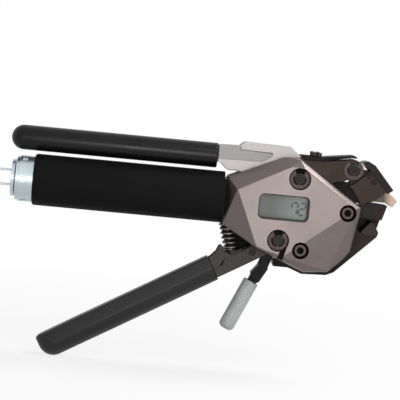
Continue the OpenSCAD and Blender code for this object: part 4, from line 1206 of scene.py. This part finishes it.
class TENSIONER_OT_stage(bpy.types.Operator):
    """Sets the camera, the soft lights, the pale floor and the white surround"""

    bl_idname = "tensioner.stage"
    bl_label = "Stage"

    def execute(self, context):
        stage = settings().stage
        scene = context.scene
        scene.view_settings.view_transform = "Standard"
        self.add_camera(scene, stage)
        for name, (offset, size) in LAMPS.items():
            watts = getattr(stage, f"{name}_power")
            soft_light(f"{name}_light", Vector(stage.aim), Vector(offset), size, watts)
        self.add_world(scene, stage)
        self.add_floor(scene, stage)
        return {"FINISHED"}

    def add_camera(self, scene, stage):
        """Camera at the photograph's angle."""
        data = bpy.data.cameras.new("camera")
        data.sensor_width = 36
        data.lens = data.sensor_width * stage.distance / stage.field
        data.clip_start, data.clip_end = 0.01, 20
        camera = bpy.data.objects.new("camera", data)
        back = Vector((math.sin(stage.azimuth) * math.cos(stage.elevation),
                       -math.cos(stage.azimuth) * math.cos(stage.elevation), math.sin(stage.elevation)))
        camera.location = Vector(stage.aim) + back * stage.distance
        camera.rotation_mode = "QUATERNION"
        roll = Matrix.Rotation(stage.roll, 3, "Z").to_quaternion()
        camera.rotation_quaternion = (-back).to_track_quat("-Z", "Y") @ roll
        scene.collection.objects.link(camera)
        scene.camera = camera

    def add_world(self, scene, stage):
        """Even light for the tool, white for what is seen."""
        world = bpy.data.worlds.new("surround")
        world.use_nodes = True
        nodes, links = world.node_tree.nodes, world.node_tree.links
        even = nodes["Background"]
        even.inputs["Color"].default_value = (1, 1, 1, 1)
        even.inputs["Strength"].default_value = stage.ambient
        white = nodes.new("ShaderNodeBackground")
        white.inputs["Color"].default_value = (1, 1, 1, 1)
        mix = nodes.new("ShaderNodeMixShader")
        links.new(seen_directly(nodes, links), mix.inputs[0])
        links.new(even.outputs["Background"], mix.inputs[1])
        links.new(white.outputs["Background"], mix.inputs[2])
        links.new(mix.outputs["Shader"], nodes["World Output"].inputs["Surface"])
        scene.world = world

    def add_floor(self, scene, stage):
        """Pale floor that fades into the white surround and keeps a soft shadow."""
        half = 3
        level = CAD_BOX[0].z
        mesh = bpy.data.meshes.new("floor")
        corners = [(-half, -half, level), (half, -half, level), (half, half, level), (-half, half, level)]
        mesh.from_pydata(corners, [], [(0, 1, 2, 3)])
        floor = bpy.data.objects.new("floor", mesh)
        scene.collection.objects.link(floor)
        material = bpy.data.materials.new("pale_floor")
        material.use_nodes = True
        nodes, links = material.node_tree.nodes, material.node_tree.links
        plain = nodes["Principled BSDF"]
        plain.inputs["Base Color"].default_value = (*stage.floor, 1)
        plain.inputs["Roughness"].default_value = 0.9
        glow = nodes.new("ShaderNodeEmission")
        far = nodes.new("ShaderNodeVectorMath")
        far.operation = "LENGTH"
        links.new(nodes.new("ShaderNodeTexCoord").outputs["Object"], far.inputs[0])
        fade = nodes.new("ShaderNodeMapRange")
        for socket, value in (("From Min", 0.1), ("From Max", 0.5), ("To Min", 0.8), ("To Max", 1.0)):
            fade.inputs[socket].default_value = value
        links.new(far.outputs["Value"], fade.inputs["Value"])
        share = nodes.new("ShaderNodeMath")
        share.operation = "MULTIPLY"
        links.new(seen_directly(nodes, links), share.inputs[0])
        links.new(fade.outputs["Result"], share.inputs[1])
        mix = nodes.new("ShaderNodeMixShader")
        links.new(share.outputs["Value"], mix.inputs[0])
        links.new(plain.outputs["BSDF"], mix.inputs[1])
        links.new(glow.outputs["Emission"], mix.inputs[2])
        links.new(mix.outputs["Shader"], nodes["Material Output"].inputs["Surface"])
        mesh.materials.append(material)


OPERATORS = (
    TENSIONER_OT_stage, TENSIONER_OT_covers, TENSIONER_OT_metalwork, TENSIONER_OT_sleeve,
    TENSIONER_OT_cutoff_grip, TENSIONER_OT_trigger_grip, TENSIONER_OT_release_cap, TENSIONER_OT_springs,
    TENSIONER_OT_screws, TENSIONER_OT_display, TENSIONER_OT_finishes,
)
GROUPS = (EdgeSettings, GripSettings, SpringSettings, DisplaySettings, FinishSettings, StageSettings)


class TensionerSettings(bpy.types.PropertyGroup):
    """All settings of the tool."""

    edges: PointerProperty(type=EdgeSettings)
    grips: PointerProperty(type=GripSettings)
    springs: PointerProperty(type=SpringSettings)
    display: PointerProperty(type=DisplaySettings)
    finish: PointerProperty(type=FinishSettings)
    stage: PointerProperty(type=StageSettings)


class TENSIONER_PT_panel(bpy.types.Panel):
    """Lists the tool's operators and settings"""

    bl_idname = "TENSIONER_PT_panel"
    bl_label = "Strapping tensioner"
    bl_space_type = "VIEW_3D"
    bl_region_type = "UI"
    bl_category = "Tensioner"

    def draw(self, context):
        for operator in OPERATORS:
            self.layout.operator(operator.bl_idname)
        for group in ("edges", "grips", "springs", "display", "finish", "stage"):
            box = self.layout.box()
            values = getattr(context.scene.tensioner, group)
            for name in values.__annotations__:
                box.prop(values, name)


CLASSES = (*GROUPS, TensionerSettings, *OPERATORS, TENSIONER_PT_panel)


def register():
    """Registers the classes and hangs the settings on the scene."""
    for item in CLASSES:
        bpy.utils.register_class(item)
    bpy.types.Scene.tensioner = PointerProperty(type=TensionerSettings)


def unregister():
    """Takes the settings and classes away again."""
    del bpy.types.Scene.tensioner
    for item in reversed(CLASSES):
        bpy.utils.unregister_class(item)


def main():
    """Builds the pieces in order."""
    register()
    bpy.ops.tensioner.stage()
    bpy.ops.tensioner.covers()
    bpy.ops.tensioner.metalwork()
    bpy.ops.tensioner.sleeve()
    bpy.ops.tensioner.cutoff_grip()
    bpy.ops.tensioner.trigger_grip()
    bpy.ops.tensioner.release_cap()
    bpy.ops.tensioner.springs()
    bpy.ops.tensioner.screws()
    bpy.ops.tensioner.display()
    bpy.ops.tensioner.finishes()


if __name__ == "__main__":
    main()
